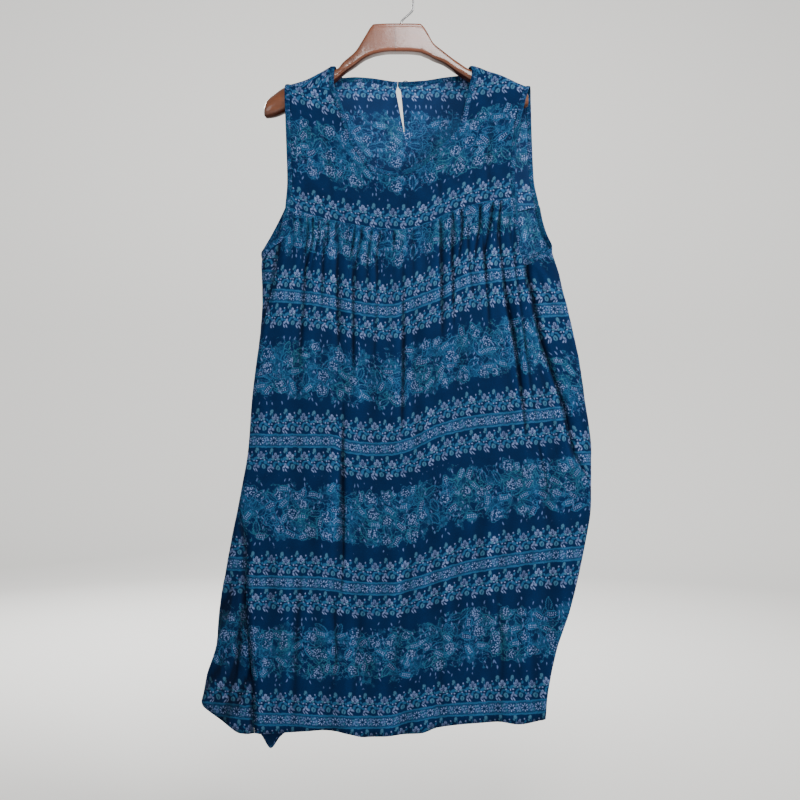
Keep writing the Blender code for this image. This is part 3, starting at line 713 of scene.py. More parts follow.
def daisy_stripe(graph, place, within, lean, mottled):
    """A row of daisies between two lines, with sprays and crumbs of colour between them."""
    height = graph.absolute(within)
    daisy_u = graph.minus(graph.wrap(lean, DAISY), DAISY / 2)
    between = graph.point(graph.from_middle(lean, DAISY), within)
    far = graph.vector("LENGTH", graph.point(daisy_u, within))
    around = graph.math("ARCTAN2", within, daisy_u)
    petal = graph.absolute(graph.math("COSINE", graph.times(around, 4.0)))
    ring = graph.absolute(graph.minus(far, 4.3))
    reach = graph.scaled(graph.times(ring, ring), -0.10, petal)
    petals = graph.clamped(reach, 3.2, -1.75)
    stripe = graph.mix(graph.scaled(mottled, 0.9, -0.1), GROUND, TEAL_BRIGHT)
    lines = graph.near(height, 9.4, 1.3, 0.9)
    stripe = graph.mix(lines, stripe, TEAL_BRIGHT, 0.75)
    inner = graph.near(height, 7.2, 0.5, 1.2)
    stripe = graph.mix(inner, stripe, GROUND, 0.6)
    crumbs = graph.cells(place, 3.1)
    crumb = graph.soft(graph.times(crumbs["Distance"], 3.1), 1.0, 1.3)
    crumb = graph.times(crumb, graph.soft(height, 6.6, 1.0))
    crumb = graph.times(crumb, graph.over(graph.parts(crumbs["Color"])[0], 0.45))
    disc = graph.soft(far, 6.6, 0.8)
    crumb = graph.times(crumb, graph.minus(1.0, disc))
    stripe = graph.mix(disc, stripe, GROUND, 0.45)
    stripe = graph.mix(crumb, stripe, LILAC, 0.6)
    stripe = graph.mix(graph.spots(between, SPRAYS), stripe, BUD, 0.7)
    stripe = graph.mix(graph.spots(between, BITS), stripe, LILAC, 0.65)
    kept = graph.clamped(mottled, 1.5, -0.12)
    stripe = graph.mix(graph.times(petals, kept), stripe, PALE)
    return graph.mix(graph.soft(far, 1.5, 1.3), stripe, GROUND_DEEP)


def near_middle(graph, centre, reach):
    """1 where a motif's own centre lies in the band, so that the motif is drawn whole."""
    height = graph.absolute(graph.from_middle(graph.parts(centre)[1], REPEAT))
    off = graph.minus(height, REPEAT / 2)
    return graph.math("LESS_THAN", graph.absolute(off), reach)


def draw_leaves(graph, place, under, greenish):
    """Leaves, each turned its own way, with pale seeds on both sides of the midrib."""
    moved = graph.vector("ADD", place, LEAF_SHIFT)
    leaf = graph.cells(moved, 23.0, randomness=0.85)
    local = graph.vector("SUBTRACT", moved, leaf["Position"])
    first, second = graph.parts(leaf["Color"])
    along, across = graph.parts(graph.turn(local, graph.times(first, FULL_TURN)))
    across = graph.absolute(across)
    arch = graph.scaled(graph.times(along, along), 0.033, -4.9)
    notches = graph.times(graph.sine(graph.times(along, 1.7)), 0.45)
    rim = graph.add(graph.add(across, arch), notches)
    centre = graph.vector("SUBTRACT", leaf["Position"], LEAF_SHIFT)
    in_band = near_middle(graph, centre, 40.0)
    inside = graph.times(graph.soft(rim, 0.0, 1.2), in_band)
    outline = graph.times(graph.near(rim, 0, 0.75, 1.1), in_band)
    fill = graph.mix(graph.over(second, 0.7), GROUND, TEAL)
    colour = graph.mix(inside, under, fill, 0.8)
    seeds = graph.times(
        graph.near(across, 1.5, 0.75, 1.3),
        graph.clamped(graph.sine(graph.times(along, 2.1)), 3.0, 0.3),
    )
    seeds = graph.times(seeds, graph.near(along, 0, 7.0, 1.0))
    seeds = graph.times(seeds, graph.over(second, 0.35))
    colour = graph.mix(outline, colour, greenish, 0.95)
    midrib = graph.times(graph.soft(across, 0.35, 1.4), inside)
    colour = graph.mix(midrib, colour, greenish, 0.6)
    colour = graph.mix(graph.times(seeds, inside), colour, PALE, 0.75)
    return colour, graph.most(inside, outline)


def draw_blooms(graph, place, under, greenish, shade):
    """Blossoms with two scalloped rings, petal lines and a clump of small pale seeds."""
    bloom = graph.cells(place, 32.0, randomness=0.9)
    local = graph.vector("SUBTRACT", place, bloom["Position"])
    first, second = graph.parts(bloom["Color"])
    x, y = graph.parts(local)
    far = graph.vector("LENGTH", local)
    around = graph.add(graph.math("ARCTAN2", y, x), graph.times(second, FULL_TURN))
    lobes = graph.sine(graph.times(around, 5.0))
    size = graph.scaled(first, 5.5, 8.0)
    in_band = near_middle(graph, bloom["Position"], 38.0)
    edge = graph.times(size, graph.scaled(lobes, 0.17, 0.88))
    from_edge = graph.minus(far, edge)
    inside = graph.times(graph.soft(from_edge, 0.0, 0.9), in_band)
    inner_ring = graph.near(far, graph.times(edge, 0.62), 0.65, 1.0)
    rings = graph.most(graph.near(far, edge, 0.8, 1.0), inner_ring)
    parting = graph.absolute(graph.math("COSINE", graph.times(around, 2.5)))
    parting = graph.soft(graph.times(parting, far), 0.7, 0.9)
    drawn = graph.times(graph.most(rings, graph.times(parting, 0.8)), in_band)
    drawn = graph.times(drawn, graph.soft(from_edge, 0.8, 1.0))
    colour = graph.mix(inside, under, GROUND, 0.75)
    colour = graph.mix(drawn, colour, greenish, 0.9)
    seeds = graph.cells(place, 2.7, randomness=0.85)
    seed = graph.soft(graph.times(seeds["Distance"], 2.7), 0.85, 1.3)
    seed = graph.times(seed, graph.over(graph.parts(seeds["Color"])[1], 0.30))
    clump = graph.soft(graph.minus(far, graph.times(size, 0.66)), 0.0, 0.5)
    clump = graph.times(graph.times(clump, in_band), graph.over(second, 0.2))
    colour = graph.mix(clump, colour, GROUND, 0.5)
    colour = graph.mix(graph.times(seed, clump), colour, PALE, 0.8)
    strewn = graph.times(seed, graph.clamped(shade, 5.0, -2.75))
    return graph.mix(strewn, colour, LILAC, 0.5), inside


def blossom_band(graph, place, wobble, ground, band_y):
    """Colour of the band of stems, leaves and blossoms, and how far it covers the ground."""
    rough_edge = graph.noise(place, 0.055, 3.0, 0.6)[0]
    band = graph.soft(graph.scaled(rough_edge, 60.0, band_y), 70.0, 0.35)
    stems_place = graph.vector("ADD", place, graph.enlarge(wobble, 16.0))
    web = graph.cells(stems_place, 13.0, "DISTANCE_TO_EDGE")["Distance"]
    stems = graph.soft(graph.times(web, 13.0), 0.7, 1.0)
    web = graph.cells(stems_place, 4.4, "DISTANCE_TO_EDGE")["Distance"]
    small = graph.soft(graph.times(web, 4.4), 0.5, 1.1)
    wash = graph.clamped(graph.noise(place, 0.035, 3.0, 0.6)[0], 7.0, -3.2)
    shade = graph.noise(place, 0.16)[0]
    colour = graph.mix(graph.times(wash, graph.clamped(shade, 0.9, 0.0)), ground, TEAL)
    patches = graph.clamped(graph.noise(place, 0.02, 1.0)[0], 3.0, -1.2)
    greenish = graph.mix(patches, TEAL_BRIGHT, TEAL_GREEN)
    colour = graph.mix(stems, colour, greenish, 0.75)
    colour = graph.mix(graph.times(small, graph.times(wash, 0.36)), colour, greenish)
    colour, leaves = draw_leaves(graph, place, colour, greenish)
    colour, blooms = draw_blooms(graph, place, colour, greenish, shade)
    return colour, graph.most(band, leaves, blooms)


def loose_petals(graph, place, band_y):
    """Loose petals along the band's edges."""
    moved = graph.vector("ADD", place, PETAL_SHIFT)
    loose = graph.cells(moved, 8.5, randomness=0.9)
    local = graph.vector("SUBTRACT", moved, loose["Position"])
    first, second = graph.parts(loose["Color"])
    petal = graph.spot(graph.turn(local, graph.scaled(first, 1.2, 0.95)), 0, 0, 2.6, 0.85)
    petal = graph.times(petal, graph.over(second, 0.70))
    return graph.times(petal, graph.soft(band_y, 57.0, 0.4))


def make_print():
    """The printed repeat: a stripe of daisies between two garlands, and a band of blossoms."""
    group = bpy.data.node_groups.new("floral_stripe_print", "ShaderNodeTree")
    group.interface.new_socket("Place", in_out="INPUT", socket_type="NodeSocketVector")
    group.interface.new_socket("Color", in_out="OUTPUT", socket_type="NodeSocketColor")
    graph = Graph(group)
    millimetres = graph.enlarge(graph.node("NodeGroupInput").outputs["Place"], 1000)
    # Each thread line is a little uneven, so the print's edges are too.
    wobble = graph.noise(millimetres, 0.12)[1]
    shift = graph.enlarge(graph.vector("SUBTRACT", wobble, (0.5, 0.5, 0.5)), 3.0)
    place = graph.vector("ADD", millimetres, shift)
    u, v = graph.parts(place)
    within = graph.from_middle(v, REPEAT)
    height = graph.absolute(within)
    band_y = graph.absolute(graph.minus(height, REPEAT / 2))
    row = graph.whole(graph.add(v, REPEAT / 2), REPEAT)
    lean = graph.scaled(row, 5.0, u)
    patchy = graph.noise(millimetres, 0.035, 3.0)[0]
    mottled = graph.noise(millimetres, 0.45)[0]
    ground = graph.mix(graph.clamped(patchy, 1.6, -0.3), GROUND_DEEP, GROUND)

    # Anything of the garlands that lies outside their rows gives way to the ground.
    sprigs = garland(graph, ground, within, lean, mottled)
    in_garland = graph.times(graph.soft(height, 50, 1.0), graph.over(height, 11.0))
    colour = graph.mix(in_garland, ground, sprigs)
    stripe = daisy_stripe(graph, place, within, lean, mottled)
    colour = graph.mix(graph.soft(height, 11, 1.0), colour, stripe)
    blossoms, band = blossom_band(graph, place, wobble, ground, band_y)
    colour = graph.mix(band, colour, blossoms)
    petals = loose_petals(graph, place, band_y)
    colour = graph.mix(petals, colour, LILAC, 0.75)
    # A worn, slightly uneven printing
    colour = graph.lit(colour, graph.scaled(mottled, 0.5, 0.75))
    graph.put(colour, graph.node("NodeGroupOutput").inputs["Color"])
    return group


def new_material(name):
    """A material, a graph for its nodes and the inputs of its shader."""
    material = bpy.data.materials.new(name)
    material.use_nodes = True
    tree = material.node_tree
    return material, Graph(tree), tree.nodes["Principled BSDF"].inputs


def cloth_material(name, wrong_side=False, plain=False):
    """Printed viscose: the print, a fine weave, a soft sheen and stitched edges."""
    material, graph, shader = new_material(name)
    uv = graph.node("ShaderNodeUVMap", uv_map="cloth").outputs[0]
    colour = graph.node("ShaderNodeGroup", {"Place": uv}, node_tree=print_group).outputs[0]
    threads = graph.noise(graph.stretch(uv, 2600, 420, 1), 1.0, 3.0)[0]
    wefts = graph.noise(graph.stretch(uv, 380, 2400, 1), 1.0, 3.0)[0]
    weave = graph.add(threads, wefts)
    if plain:
        colour = graph.mix(0.30, colour, GROUND)
    if wrong_side:
        colour = graph.mix(0.03, colour, LILAC)
    # Painted shade: the cloth darkens in creases and where it turns under, and lightens on ridges. The
    # wrong side is painted lighter all over, partly for its paler print and partly as painted light in
    # its shade.
    painted_shading = graph.scaled(graph.attribute("painted_shade"), -0.66, 1.30 if wrong_side else 1.0)
    colour = graph.lit(colour, graph.times(graph.scaled(weave, 0.5, 0.5), painted_shading))
    dash = graph.sine(graph.times(graph.parts(uv)[0], 2 * math.pi / STITCH))
    stitch = graph.near(graph.attribute("edge"), 1.0, 0.035, 30.0)
    stitch = graph.times(stitch, graph.clamped(dash, 2.0, 0.9))
    colour = graph.mix(stitch, colour, (0.012, 0.06, 0.13, 1), 0.6)
    graph.put(colour, shader["Base Color"])
    relief = graph.scaled(stitch, -1.6, weave)
    graph.put(graph.bump(relief, 0.35, 0.00025), shader["Normal"])
    graph.put(graph.scaled(weave, 0.16, 0.62), shader["Roughness"])
    shader["Specular IOR Level"].default_value = 0.08
    shader["Sheen Weight"].default_value = 0.03
    shader["Sheen Roughness"].default_value = 0.40
    shader["Sheen Tint"].default_value = (0.30, 0.60, 0.95, 1)
    return material


def wood_material():
    """Reddish brown lacquered wood with fine streaks, joined in the middle of the block."""
    material, graph, shader = new_material("lacquered_wood")
    where = graph.node("ShaderNodeTexCoord").outputs["Object"]
    streaks = graph.stretch(where, 14, 160, 130)
    grain = graph.cloud(streaks, 1.0, Detail=6.0, Roughness=0.65, Distortion=0.4)
    broad = graph.cloud(where, 16.0)
    ramp = graph.node("ShaderNodeValToRGB", {"Fac": grain})
    dark, light = ramp.color_ramp.elements
    dark.position, light.position = 0.30, 0.72
    dark.color = (0.060, 0.014, 0.006, 1)
    light.color = (0.215, 0.056, 0.012, 1)
    x = graph.parts(where)[0]
    from_middle = graph.absolute(x)
    from_joint = graph.add(x, 0.0075)
    left_half = graph.math("LESS_THAN", from_joint, 0.0)
    tone = graph.mix(left_half, ramp.outputs[0], (0.110, 0.029, 0.012, 1), 0.25)
    tone = graph.mix(graph.clamped(broad, 1.4, -0.5), tone, (0.205, 0.055, 0.013, 1))
    # Painted highlight: the block is painted a lighter brown, for the lacquer's reflections there.
    painted_block_highlight = graph.clamped(from_middle, -25.0, 1.6)
    tone = graph.mix(painted_block_highlight, tone, (0.34, 0.095, 0.050, 1), 0.35)
    # Painted shade: the underside of each section is painted dark brown, less so on the block, and its
    # coat and specular are weakened there.
    under = graph.times(graph.attribute("under"), graph.scaled(painted_block_highlight, -0.6, 1.0))
    tone = graph.mix(under, tone, (0.040, 0.010, 0.005, 1), 0.8)
    joint = graph.near(from_joint, 0, 0.0004, 3000)
    tone = graph.mix(joint, tone, (0.03, 0.010, 0.006, 1), 0.7)
    graph.put(tone, shader["Base Color"])
    graph.put(graph.scaled(under, -0.9, 1.0), shader["Coat Weight"])
    graph.put(graph.scaled(under, -0.3, 0.38), shader["Specular IOR Level"])
    graph.put(graph.scaled(grain, 0.18, 0.24), shader["Roughness"])
    shader["Coat Roughness"].default_value = 0.11
    # The lacquer lies unevenly on the arms.
    on_arms = graph.clamped(from_middle, 30.0, -1.45)
    waves = graph.cloud(where, 95.0, Detail=1.5)
    uneven = graph.times(waves, graph.scaled(on_arms, 0.9, 0.1))
    bumps = graph.bump(graph.scaled(grain, 0.10, uneven), 0.5, 0.0011)
    graph.put(bumps, shader["Normal"])
    graph.put(bumps, shader["Coat Normal"])
    return material


def cloudy_material(name, scale, dark, light, rough, rough_spread):
    """A smooth material whose colour and roughness vary a little from place to place."""
    material, graph, shader = new_material(name)
    cloud = graph.cloud(graph.node("ShaderNodeTexCoord").outputs["Object"], scale)
    graph.put(graph.mix(cloud, dark, light), shader["Base Color"])
    graph.put(graph.scaled(cloud, rough_spread, rough), shader["Roughness"])
    return material


def metal_material():
    """Chromed steel wire, a little scuffed."""
    dark, light = (0.16, 0.16, 0.165, 1), (0.34, 0.34, 0.345, 1)
    material = cloudy_material("chromed_wire", 900.0, dark, light, 0.14, 0.2)
    material.node_tree.nodes["Principled BSDF"].inputs["Metallic"].default_value = 1.0
    return material


def button_material():
    """A glossy dark button with a cloudy sheen."""
    dark, light = (0.008, 0.03, 0.06, 1), (0.03, 0.08, 0.13, 1)
    return cloudy_material("dark_button", 320.0, dark, light, 0.15, 0.1)


print_group = make_print()
print_right = cloth_material("printed_cloth")
print_wrong = cloth_material("printed_cloth_wrong_side", wrong_side=True)
print_binding = cloth_material("printed_cloth_binding", plain=True)
wood = wood_material()
steel = metal_material()
button_finish = button_material()


def yoke_grid(armholes, top_height, seam, neck_steps, rows):
    """Places across and cloth heights of a yoke's grid of points."""
    left_end, right_end = armholes["left"][-1], armholes["right"][-1]
    top_x = np.concatenate(
        [
            np.linspace(left_end, NECK_ENDS[0], SHOULDER_STEPS + 1)[:-1],
            spaced(NECK_ENDS, top_height, neck_steps),
            np.linspace(NECK_ENDS[1], right_end, SHOULDER_STEPS + 1)[1:],
        ]
    )
    vs = np.linspace(0, 1, rows)
    x, height, _ = panel_grid(
        (top_x, top_height(top_x)),
        lambda z: follow(armholes["left_height"], armholes["left"], z),
        lambda z: follow(armholes["right_height"], armholes["right"], z),
        lambda x: follow(seam["x"], seam["height"], x) - SEAM_ALLOWANCE,
        0.6 * vs + 0.4 * vs**1.8,
    )
    return x, height


def hang_yoke(name, side, x, height, seam, print_height, seed, holes=None):
    """A yoke with the soft unevenness of pressed cloth. Its seam allowance goes on inside the
    skirt, and print_height is the height of its places in the print."""
    points, normals = yoke_point(side, x, height)
    from_seam = height - follow(seam["x"], seam["height"], x)
    from_top = height[0] - height
    edge_fade = smooth_step(from_seam / 0.02) * smooth_step(from_top / 0.02)
    sink = 0.9 * MM * waver(x, height, seed, 0.085) * edge_fade
    sink = sink + 0.45 * MM * waver(x, height, seed + 5, 0.030) * edge_fade
    for fold in YOKE_CREASES[side]:
        sink = sink + crease(x, height, *fold) * edge_fade
    sink = sink + 2.2 * MM * smooth_step(-from_seam / SEAM_ALLOWANCE)
    uv = np.stack([x, print_height], -1)
    marks = {"edge": from_top * 1000 - 1.0}
    return new_sheet(name, points, normals, sink, uv, marks, side, holes), points, normals


def below_armhole(edge, count):
    """Places along the top of a skirt panel beside the yoke."""
    edge_x, edge_height = edge
    return spaced((edge_x[0], edge_x[-1]), lambda x: follow(edge_x, edge_height, x), count)


def gathers_at(count, across, below, seed, zones):
    """How far the gathers stand out below the yoke seam."""
    moved = np.clip(across, 0, 1) ** 0.75
    moved = moved + 0.009 * np.sin(across * 31 + seed) + 0.006 * np.sin(across * 67 + 2 * seed)
    moved = moved + 0.25 / count * np.sin(below * 38 + 9 * across + seed)
    number = np.floor(moved * count)
    phase = moved * count - number
    chance = 0.5 + 0.5 * np.sin(number * 2.4 + 1.3 * np.sin(number * 1.7 + seed))
    other = 0.5 + 0.5 * np.sin(number * 4.1 + seed * 2 + 1.9 * np.sin(number * 2.9))
    strength = 0.55 + 0 * across
    for low, high, more in zones:
        strength = strength + more * bump((across - (low + high) / 2) / ((high - low) / 1.6))
    depth = 5.6 * MM * (0.25 + 0.95 * chance) * strength * (0.75 + 0.5 * across)
    length = (0.050 + 0.130 * other**1.3) * (0.7 + 0.5 * strength)
    opening = 0.42 + 0.58 * smooth_step(below / 0.010)
    fade = (1 - smooth_step(below / length)) ** 1.1
    ridge = np.abs(np.sin(math.pi * phase)) ** 0.75
    inside = smooth_step(across / 0.012) * smooth_step((1 - across) / 0.012)
    return depth * opening * fade * (ridge - 0.35) * inside


def fold_at(along, height, fold):
    """How far a large fold of the tables sinks."""
    top_x, top, bottom_x, bottom, depth, half_width = fold
    down = (top - height) / (top - bottom)
    line = top_x + (bottom_x - top_x) * down
    soft = np.clip(bump(2 * down - 1), 0, 1) ** 0.5
    return 0.8 * depth * bump((along - line) / half_width) * soft


def hang_skirt(name, side, tables, gathers, side_steps, seed, zones, print_shift):
    """A skirt panel from its yoke seam to the hem, with its gathers, folds and creases."""
    yoke, underarms, hem, folds, creases, stripes = tables
    seam_left, seam_right = yoke["x"][0], yoke["x"][-1]
    ends = int(np.argmax(underarms["x"] == seam_right))
    left_edge = underarms["x"][:ends], underarms["height"][:ends]
    right_edge = underarms["x"][ends:][::-1], underarms["height"][ends:][::-1]
    starts = {"left": left_edge[1][0], "right": right_edge[1][0]}

    def side_seam(which, height):
        height = np.minimum(height, starts[which])
        along = follow(SIDE_SEAMS["height"], SIDE_SEAMS[which], height)
        return other_side(along, height) if side > 0 else along

    left_x = below_armhole(left_edge, side_steps[0])
    right_x = below_armhole(right_edge, side_steps[1])[::-1]
    seam_x = np.linspace(seam_left, seam_right, 12 * gathers + 1)
    top_x = np.concatenate([left_x[:-1], seam_x, right_x[1:]])
    top_height = np.concatenate(
        [
            follow(*left_edge, left_x[:-1]),
            follow(yoke["x"], yoke["height"], seam_x) - EDGE_GAP,
            follow(*right_edge, right_x[1:]),
        ]
    )
    vs = np.linspace(0, 1, SKIRT_ROWS)
    along, height, share = panel_grid(
        (top_x, top_height),
        lambda z: side_seam("left", z) + EDGE_GAP,
        lambda z: side_seam("right", z) - EDGE_GAP,
        lambda x: follow(hem["x"], hem["height"], x),
        0.45 * vs + 0.55 * vs**2.1,
    )
    points, normals = tube_point(side, along, height)
    left_seam, right_seam = side_seam("left", height), side_seam("right", height)
    across = (top_x - seam_left) / (seam_right - seam_left) + 0 * height
    below = top_height - height
    above_hem = height - height[-1]

    sink = -gathers_at(gathers, across, below, seed, zones)
    medium = (1 - smooth_step(below / 0.24)) * smooth_step(below / 0.012)
    sink = sink + 1.7 * MM * ripple(along, height, seed, 0.021, 0.16) * medium
    free = smooth_step(below / 0.05) * smooth_step((along - left_seam) / 0.018)
    free = free * smooth_step((right_seam - along) / 0.018)
    sink = sink + 2.4 * MM * ripple(along, height, seed + 7, 0.062, 0.42) * free
    sink = sink + 1.5 * MM * ripple(along, height, seed + 13, 0.030, 0.24) * free
    sink = sink + 1.2 * MM * waver(along, height, seed + 2, 0.19) * free
    sink = sink + 0.35 * MM * waver(along, height, seed + 4, 0.034) * free
    near_hem = np.clip(1 - above_hem / 0.085, 0, 1) ** 1.5
    sink = sink + 3.0 * MM * ripple(along, height, seed + 9, 0.050, 0.4) * near_hem * free
    for fold in zip(*folds.values()):
        sink = sink + fold_at(along, height, fold)
    for fold in creases:
        sink = sink + 1.5 * crease(along, height, *fold)
    valleys = look_up(SEAM_VALLEYS, "height", "left right", height)
    for valley, seam in zip(valleys, (left_seam, right_seam)):
        sink = sink + valley * bump((along - seam) / SEAM_VALLEY_WIDTH)

    width = right_seam - left_seam
    u = (share - 0.5) * (0.55 * width.max() + 0.45 * width) + print_shift
    uv = np.stack([u, stripes_height(stripes, along, height)], -1)
    # Painted shadow: the back panel's strip that turns round to the front at the left is painted
    # darker.
    turned_under = np.clip(-normals[..., 1] * side, 0, 1) * (along < 0)
    marks = {"edge": (above_hem - 0.014) * 1000, "shade": 0.60 * turned_under}
    piece = new_sheet(name, points, normals, sink, uv, marks, side)
    return piece, points - normals * sink[..., None], normals


# Section of a binding, in millimetres: distance from the edge over the cloth, and height
BINDING_SECTION = (
    (-0.90, 0.12), (-0.35, 0.52), (1.30, 0.62), (3.50, 0.80), (5.90, 0.60), (6.80, 0.15),
    (7.00, -0.35), (6.80, -0.85), (5.90, -1.20), (3.50, -1.35), (1.30, -1.20), (-0.35, -1.05),
    (-0.90, -0.80),
)


def make_binding(name, chain, outward, closed, flip):
    """The bound edge: a folded band sewn on round the cloth's edge, puckered a little."""
    if closed:
        after, before = np.roll(chain, -1, 0), np.roll(chain, 1, 0)
    else:
        after = np.concatenate([chain[1:], chain[-1:]])
        before = np.concatenate([chain[:1], chain[:-1]])
    beside = np.cross(after - before, outward)
    for _ in range(3):
        if closed:
            beside = beside + 0.5 * (np.roll(beside, -1, 0) + np.roll(beside, 1, 0))
        else:
            inner = beside[1:-1] + 0.5 * (beside[2:] + beside[:-2])
            beside = np.concatenate([beside[:1], inner, beside[-1:]])
        beside /= np.linalg.norm(beside, axis=1, keepdims=True)
    beside *= flip
    step = np.linalg.norm(after - chain, axis=1)
    length = np.concatenate([[0], np.cumsum(step)])[: len(chain)]
    corners, uvs, edges = [], [], []
    for i in range(len(chain)):
        pucker = 0.16 * math.sin(length[i] / 0.0019) + 0.14 * math.sin(length[i] / 0.0043 + 1)
        for across, up in BINDING_SECTION:
            lift = up + (pucker if up > 0 else 0) * math.sin(across / 7 * math.pi)
            corners.append(chain[i] + beside[i] * across * MM + outward[i] * lift * MM)
            uvs.append((length[i], BINDING_PRINT + across * MM))
            edges.append(across - 1.1 if up > 0 else FAR_FROM_STITCHES)
    count, around = len(chain), len(BINDING_SECTION)
    quads = []
    for i in range(count if closed else count - 1):
        j = (i + 1) % count
        for k in range(around):
            m = (k + 1) % around
            quads.append((i * around + k, i * around + m, j * around + m, j * around + k))
    if not closed:
        quads.append(tuple(range(around))[::-1])
        quads.append(tuple((count - 1) * around + k for k in range(around)))
    marks = {"edge": np.array(edges)}
    mesh = cloth_mesh(name, np.array(corners), quads, np.array(uvs), marks)
    shape = bmesh.new()
    shape.from_mesh(mesh)
    return link(name, smooth_mesh(shape, mesh), print_binding)


# Creases drawn one by one: a line of (distance across, height) in millimetres, then depth, half width
# and sharpness.
YOKE_CREASES = {
    -1: (
        (((-120, -215), (-112, -280), (-104, -350)), 0.9, 7, 1.6),
        (((150, -200), (138, -270), (141, -330)), 1.0, 7, 1.6),
        (((60, -305), (64, -345)), 0.7, 6, 1.6),
    ),
    1: (
        (((-90, -200), (-84, -300)), 0.8, 9, 1.8),
        (((120, -190), (128, -310)), 0.8, 9, 1.8),
    ),
}
FRONT_CREASES = (
    (((150, -338), (165, -480), (180, -560), (191, -650), (200, -725)), 3.6, 5, 1.3),
    (((214, -705), (226, -760), (234, -800)), 1.3, 5, 1.3),
    (((168, -352), (184, -470), (196, -560), (206, -640), (216, -700)), 2.0, 6, 1.4),
    (((62, -358), (64, -440), (66, -560)), 2.0, 4, 1.2),
    (((80, -356), (82, -440), (84, -545)), 1.8, 4, 1.2),
    (((104, -350), (108, -430), (116, -500)), 1.8, 5, 1.3),
    (((124, -346), (134, -450), (142, -560)), 2.0, 5, 1.3),
    (((4, -440), (5, -560), (2, -715)), 2.0, 5, 1.3),
    (((-38, -385), (-36, -470), (-42, -600)), 1.3, 5, 1.4),
    (((-73, -385), (-74, -480), (-73, -620)), 2.0, 4, 1.2),
    (((-97, -372), (-99, -470), (-96, -575)), 2.0, 4, 1.2),
    (((-118, -368), (-121, -440), (-124, -520)), 1.6, 5, 1.3),
    (((-89, -650), (-90, -760), (-88, -870), (-92, -965)), 2.6, 4, 1.1),
    (((-142, -365), (-150, -470), (-158, -600)), 1.5, 6, 1.4),
    (((-60, -980), (-70, -1080), (-78, -1165)), 0.9, 9, 1.6),
    (((58, -900), (66, -1000), (60, -1150)), 0.8, 11, 1.6),
    (((150, -930), (160, -1050), (158, -1150)), 1.1, 10, 1.5),
    (((-150, -880), (-160, -1000), (-168, -1165)), 0.9, 10, 1.5),
    (((-104, -960), (-100, -1050), (-108, -1110)), 1.3, 5, 1.3),
)
BACK_CREASES = (
    (((-112, -352), (-118, -480), (-124, -640)), 2.4, 5, 1.3),
    (((-64, -360), (-66, -470), (-76, -610)), 2.0, 5, 1.3),
    (((-20, -364), (-14, -500), (0, -700)), 2.2, 6, 1.3),
    (((40, -365), (44, -460), (50, -590)), 1.8, 5, 1.3),
    (((88, -360), (96, -500), (110, -690)), 2.4, 6, 1.3),
    (((140, -354), (152, -520), (170, -740)), 2.6, 6, 1.3),
    (((180, -350), (188, -420), (200, -520)), 1.8, 5, 1.3),
    (((-150, -800), (-176, -960), (-196, -1160)), 2.4, 8, 1.5),
    (((70, -860), (84, -1000), (90, -1160)), 2.2, 9, 1.5),
    (((-353, -985), (-378, -1080), (-388, -1150)), 3.6, 7, 1.3),
    (((-322, -940), (-341, -1030), (-359, -1090), (-370, -1140)), 4.4, 7, 1.3),
    (((-345, -1010), (-352, -1120)), 2.0, 6, 1.3),
    (((-296, -960), (-300, -1060), (-306, -1130)), 2.5, 6, 1.3),
)

x, height = yoke_grid(FRONT_ARMHOLES, front_top, FRONT_YOKE_SEAM, FRONT_NECK_STEPS, rows=74)
above_seam = height - follow(FRONT_YOKE_SEAM["x"], FRONT_YOKE_SEAM["height"], x)
front_yoke, *front_grids = hang_yoke(
    "front_yoke_cloth", -1, x, height, FRONT_YOKE_SEAM, print_height=0.010 + above_seam, seed=1.0
)

x, height = yoke_grid(BACK_ARMHOLES, back_top, BACK_YOKE_SEAM, BACK_NECK_STEPS, rows=96)
# The slit opens the cloth along one column below the neck.
slit_top, slit_bottom, slit_x, slit_slant, slit_half = (
    value * MM for value in (-150, -221, -4, 10.5, 3.9)
)
down = (slit_top - height) / (slit_top - slit_bottom)
slit_line = slit_x + slit_slant * np.clip(down, 0, 1)
middle = int(np.argmin(np.abs(x[0] - slit_x)))
slit_closed = -0.75 * MM
half = smooth_step(down / 0.16) * np.clip(1 - down, 0, 1) ** 0.8
half = np.where(down < 1, slit_closed + (slit_half - slit_closed) * half, 0)
column_x = x[:, middle : middle + 2].mean(1, keepdims=True)
near = np.clip(1 - np.abs(x - column_x) / 0.04, 0, 1)
shift = (slit_line - column_x) * (down < 1.15)
x = x + (shift * near**2) * smooth_step((1.3 - down) / 0.25)
sign = np.where(np.arange(x.shape[1])[None, :] <= middle, -1, 1)
x = x + sign * half * near**3
holes = np.zeros((x.shape[0] - 1, x.shape[1] - 1), bool)
holes[:, middle] = (down[:-1, middle] < 1) & (down[:-1, middle] > -2)
back_yoke, *back_grids = hang_yoke(
    "back_yoke_cloth", 1, x, height, BACK_YOKE_SEAM, print_height=height + 0.349, seed=4.0, holes=holes
)

# Steps beside the yoke, on the left and on the right, of each skirt panel
FRONT_SIDES = (16, 20)
BACK_SIDES = (36, 40)
front_skirt, *front_skirt_grids = hang_skirt(
    "front_skirt_cloth",
    -1,
    (FRONT_YOKE_SEAM, FRONT_UNDERARMS, FRONT_HEM, FRONT_FOLDS, FRONT_CREASES, FRONT_STRIPES),
    gathers=23,
    side_steps=FRONT_SIDES,
    seed=3.0,
    zones=((0.06, 0.34, 0.42), (0.62, 1.0, 0.38)),
    print_shift=0.0,
)
back_skirt, *back_skirt_grids = hang_skirt(
    "back_skirt_cloth",
    1,
    (BACK_YOKE_SEAM, BACK_UNDERARMS, BACK_HEM, BACK_FOLDS, BACK_CREASES, BACK_STRIPES),
    gathers=22,
    side_steps=BACK_SIDES,
    seed=6.0,
    zones=((0.1, 0.5, 0.4), (0.55, 0.9, 0.4)),
    print_shift=1.3,
)


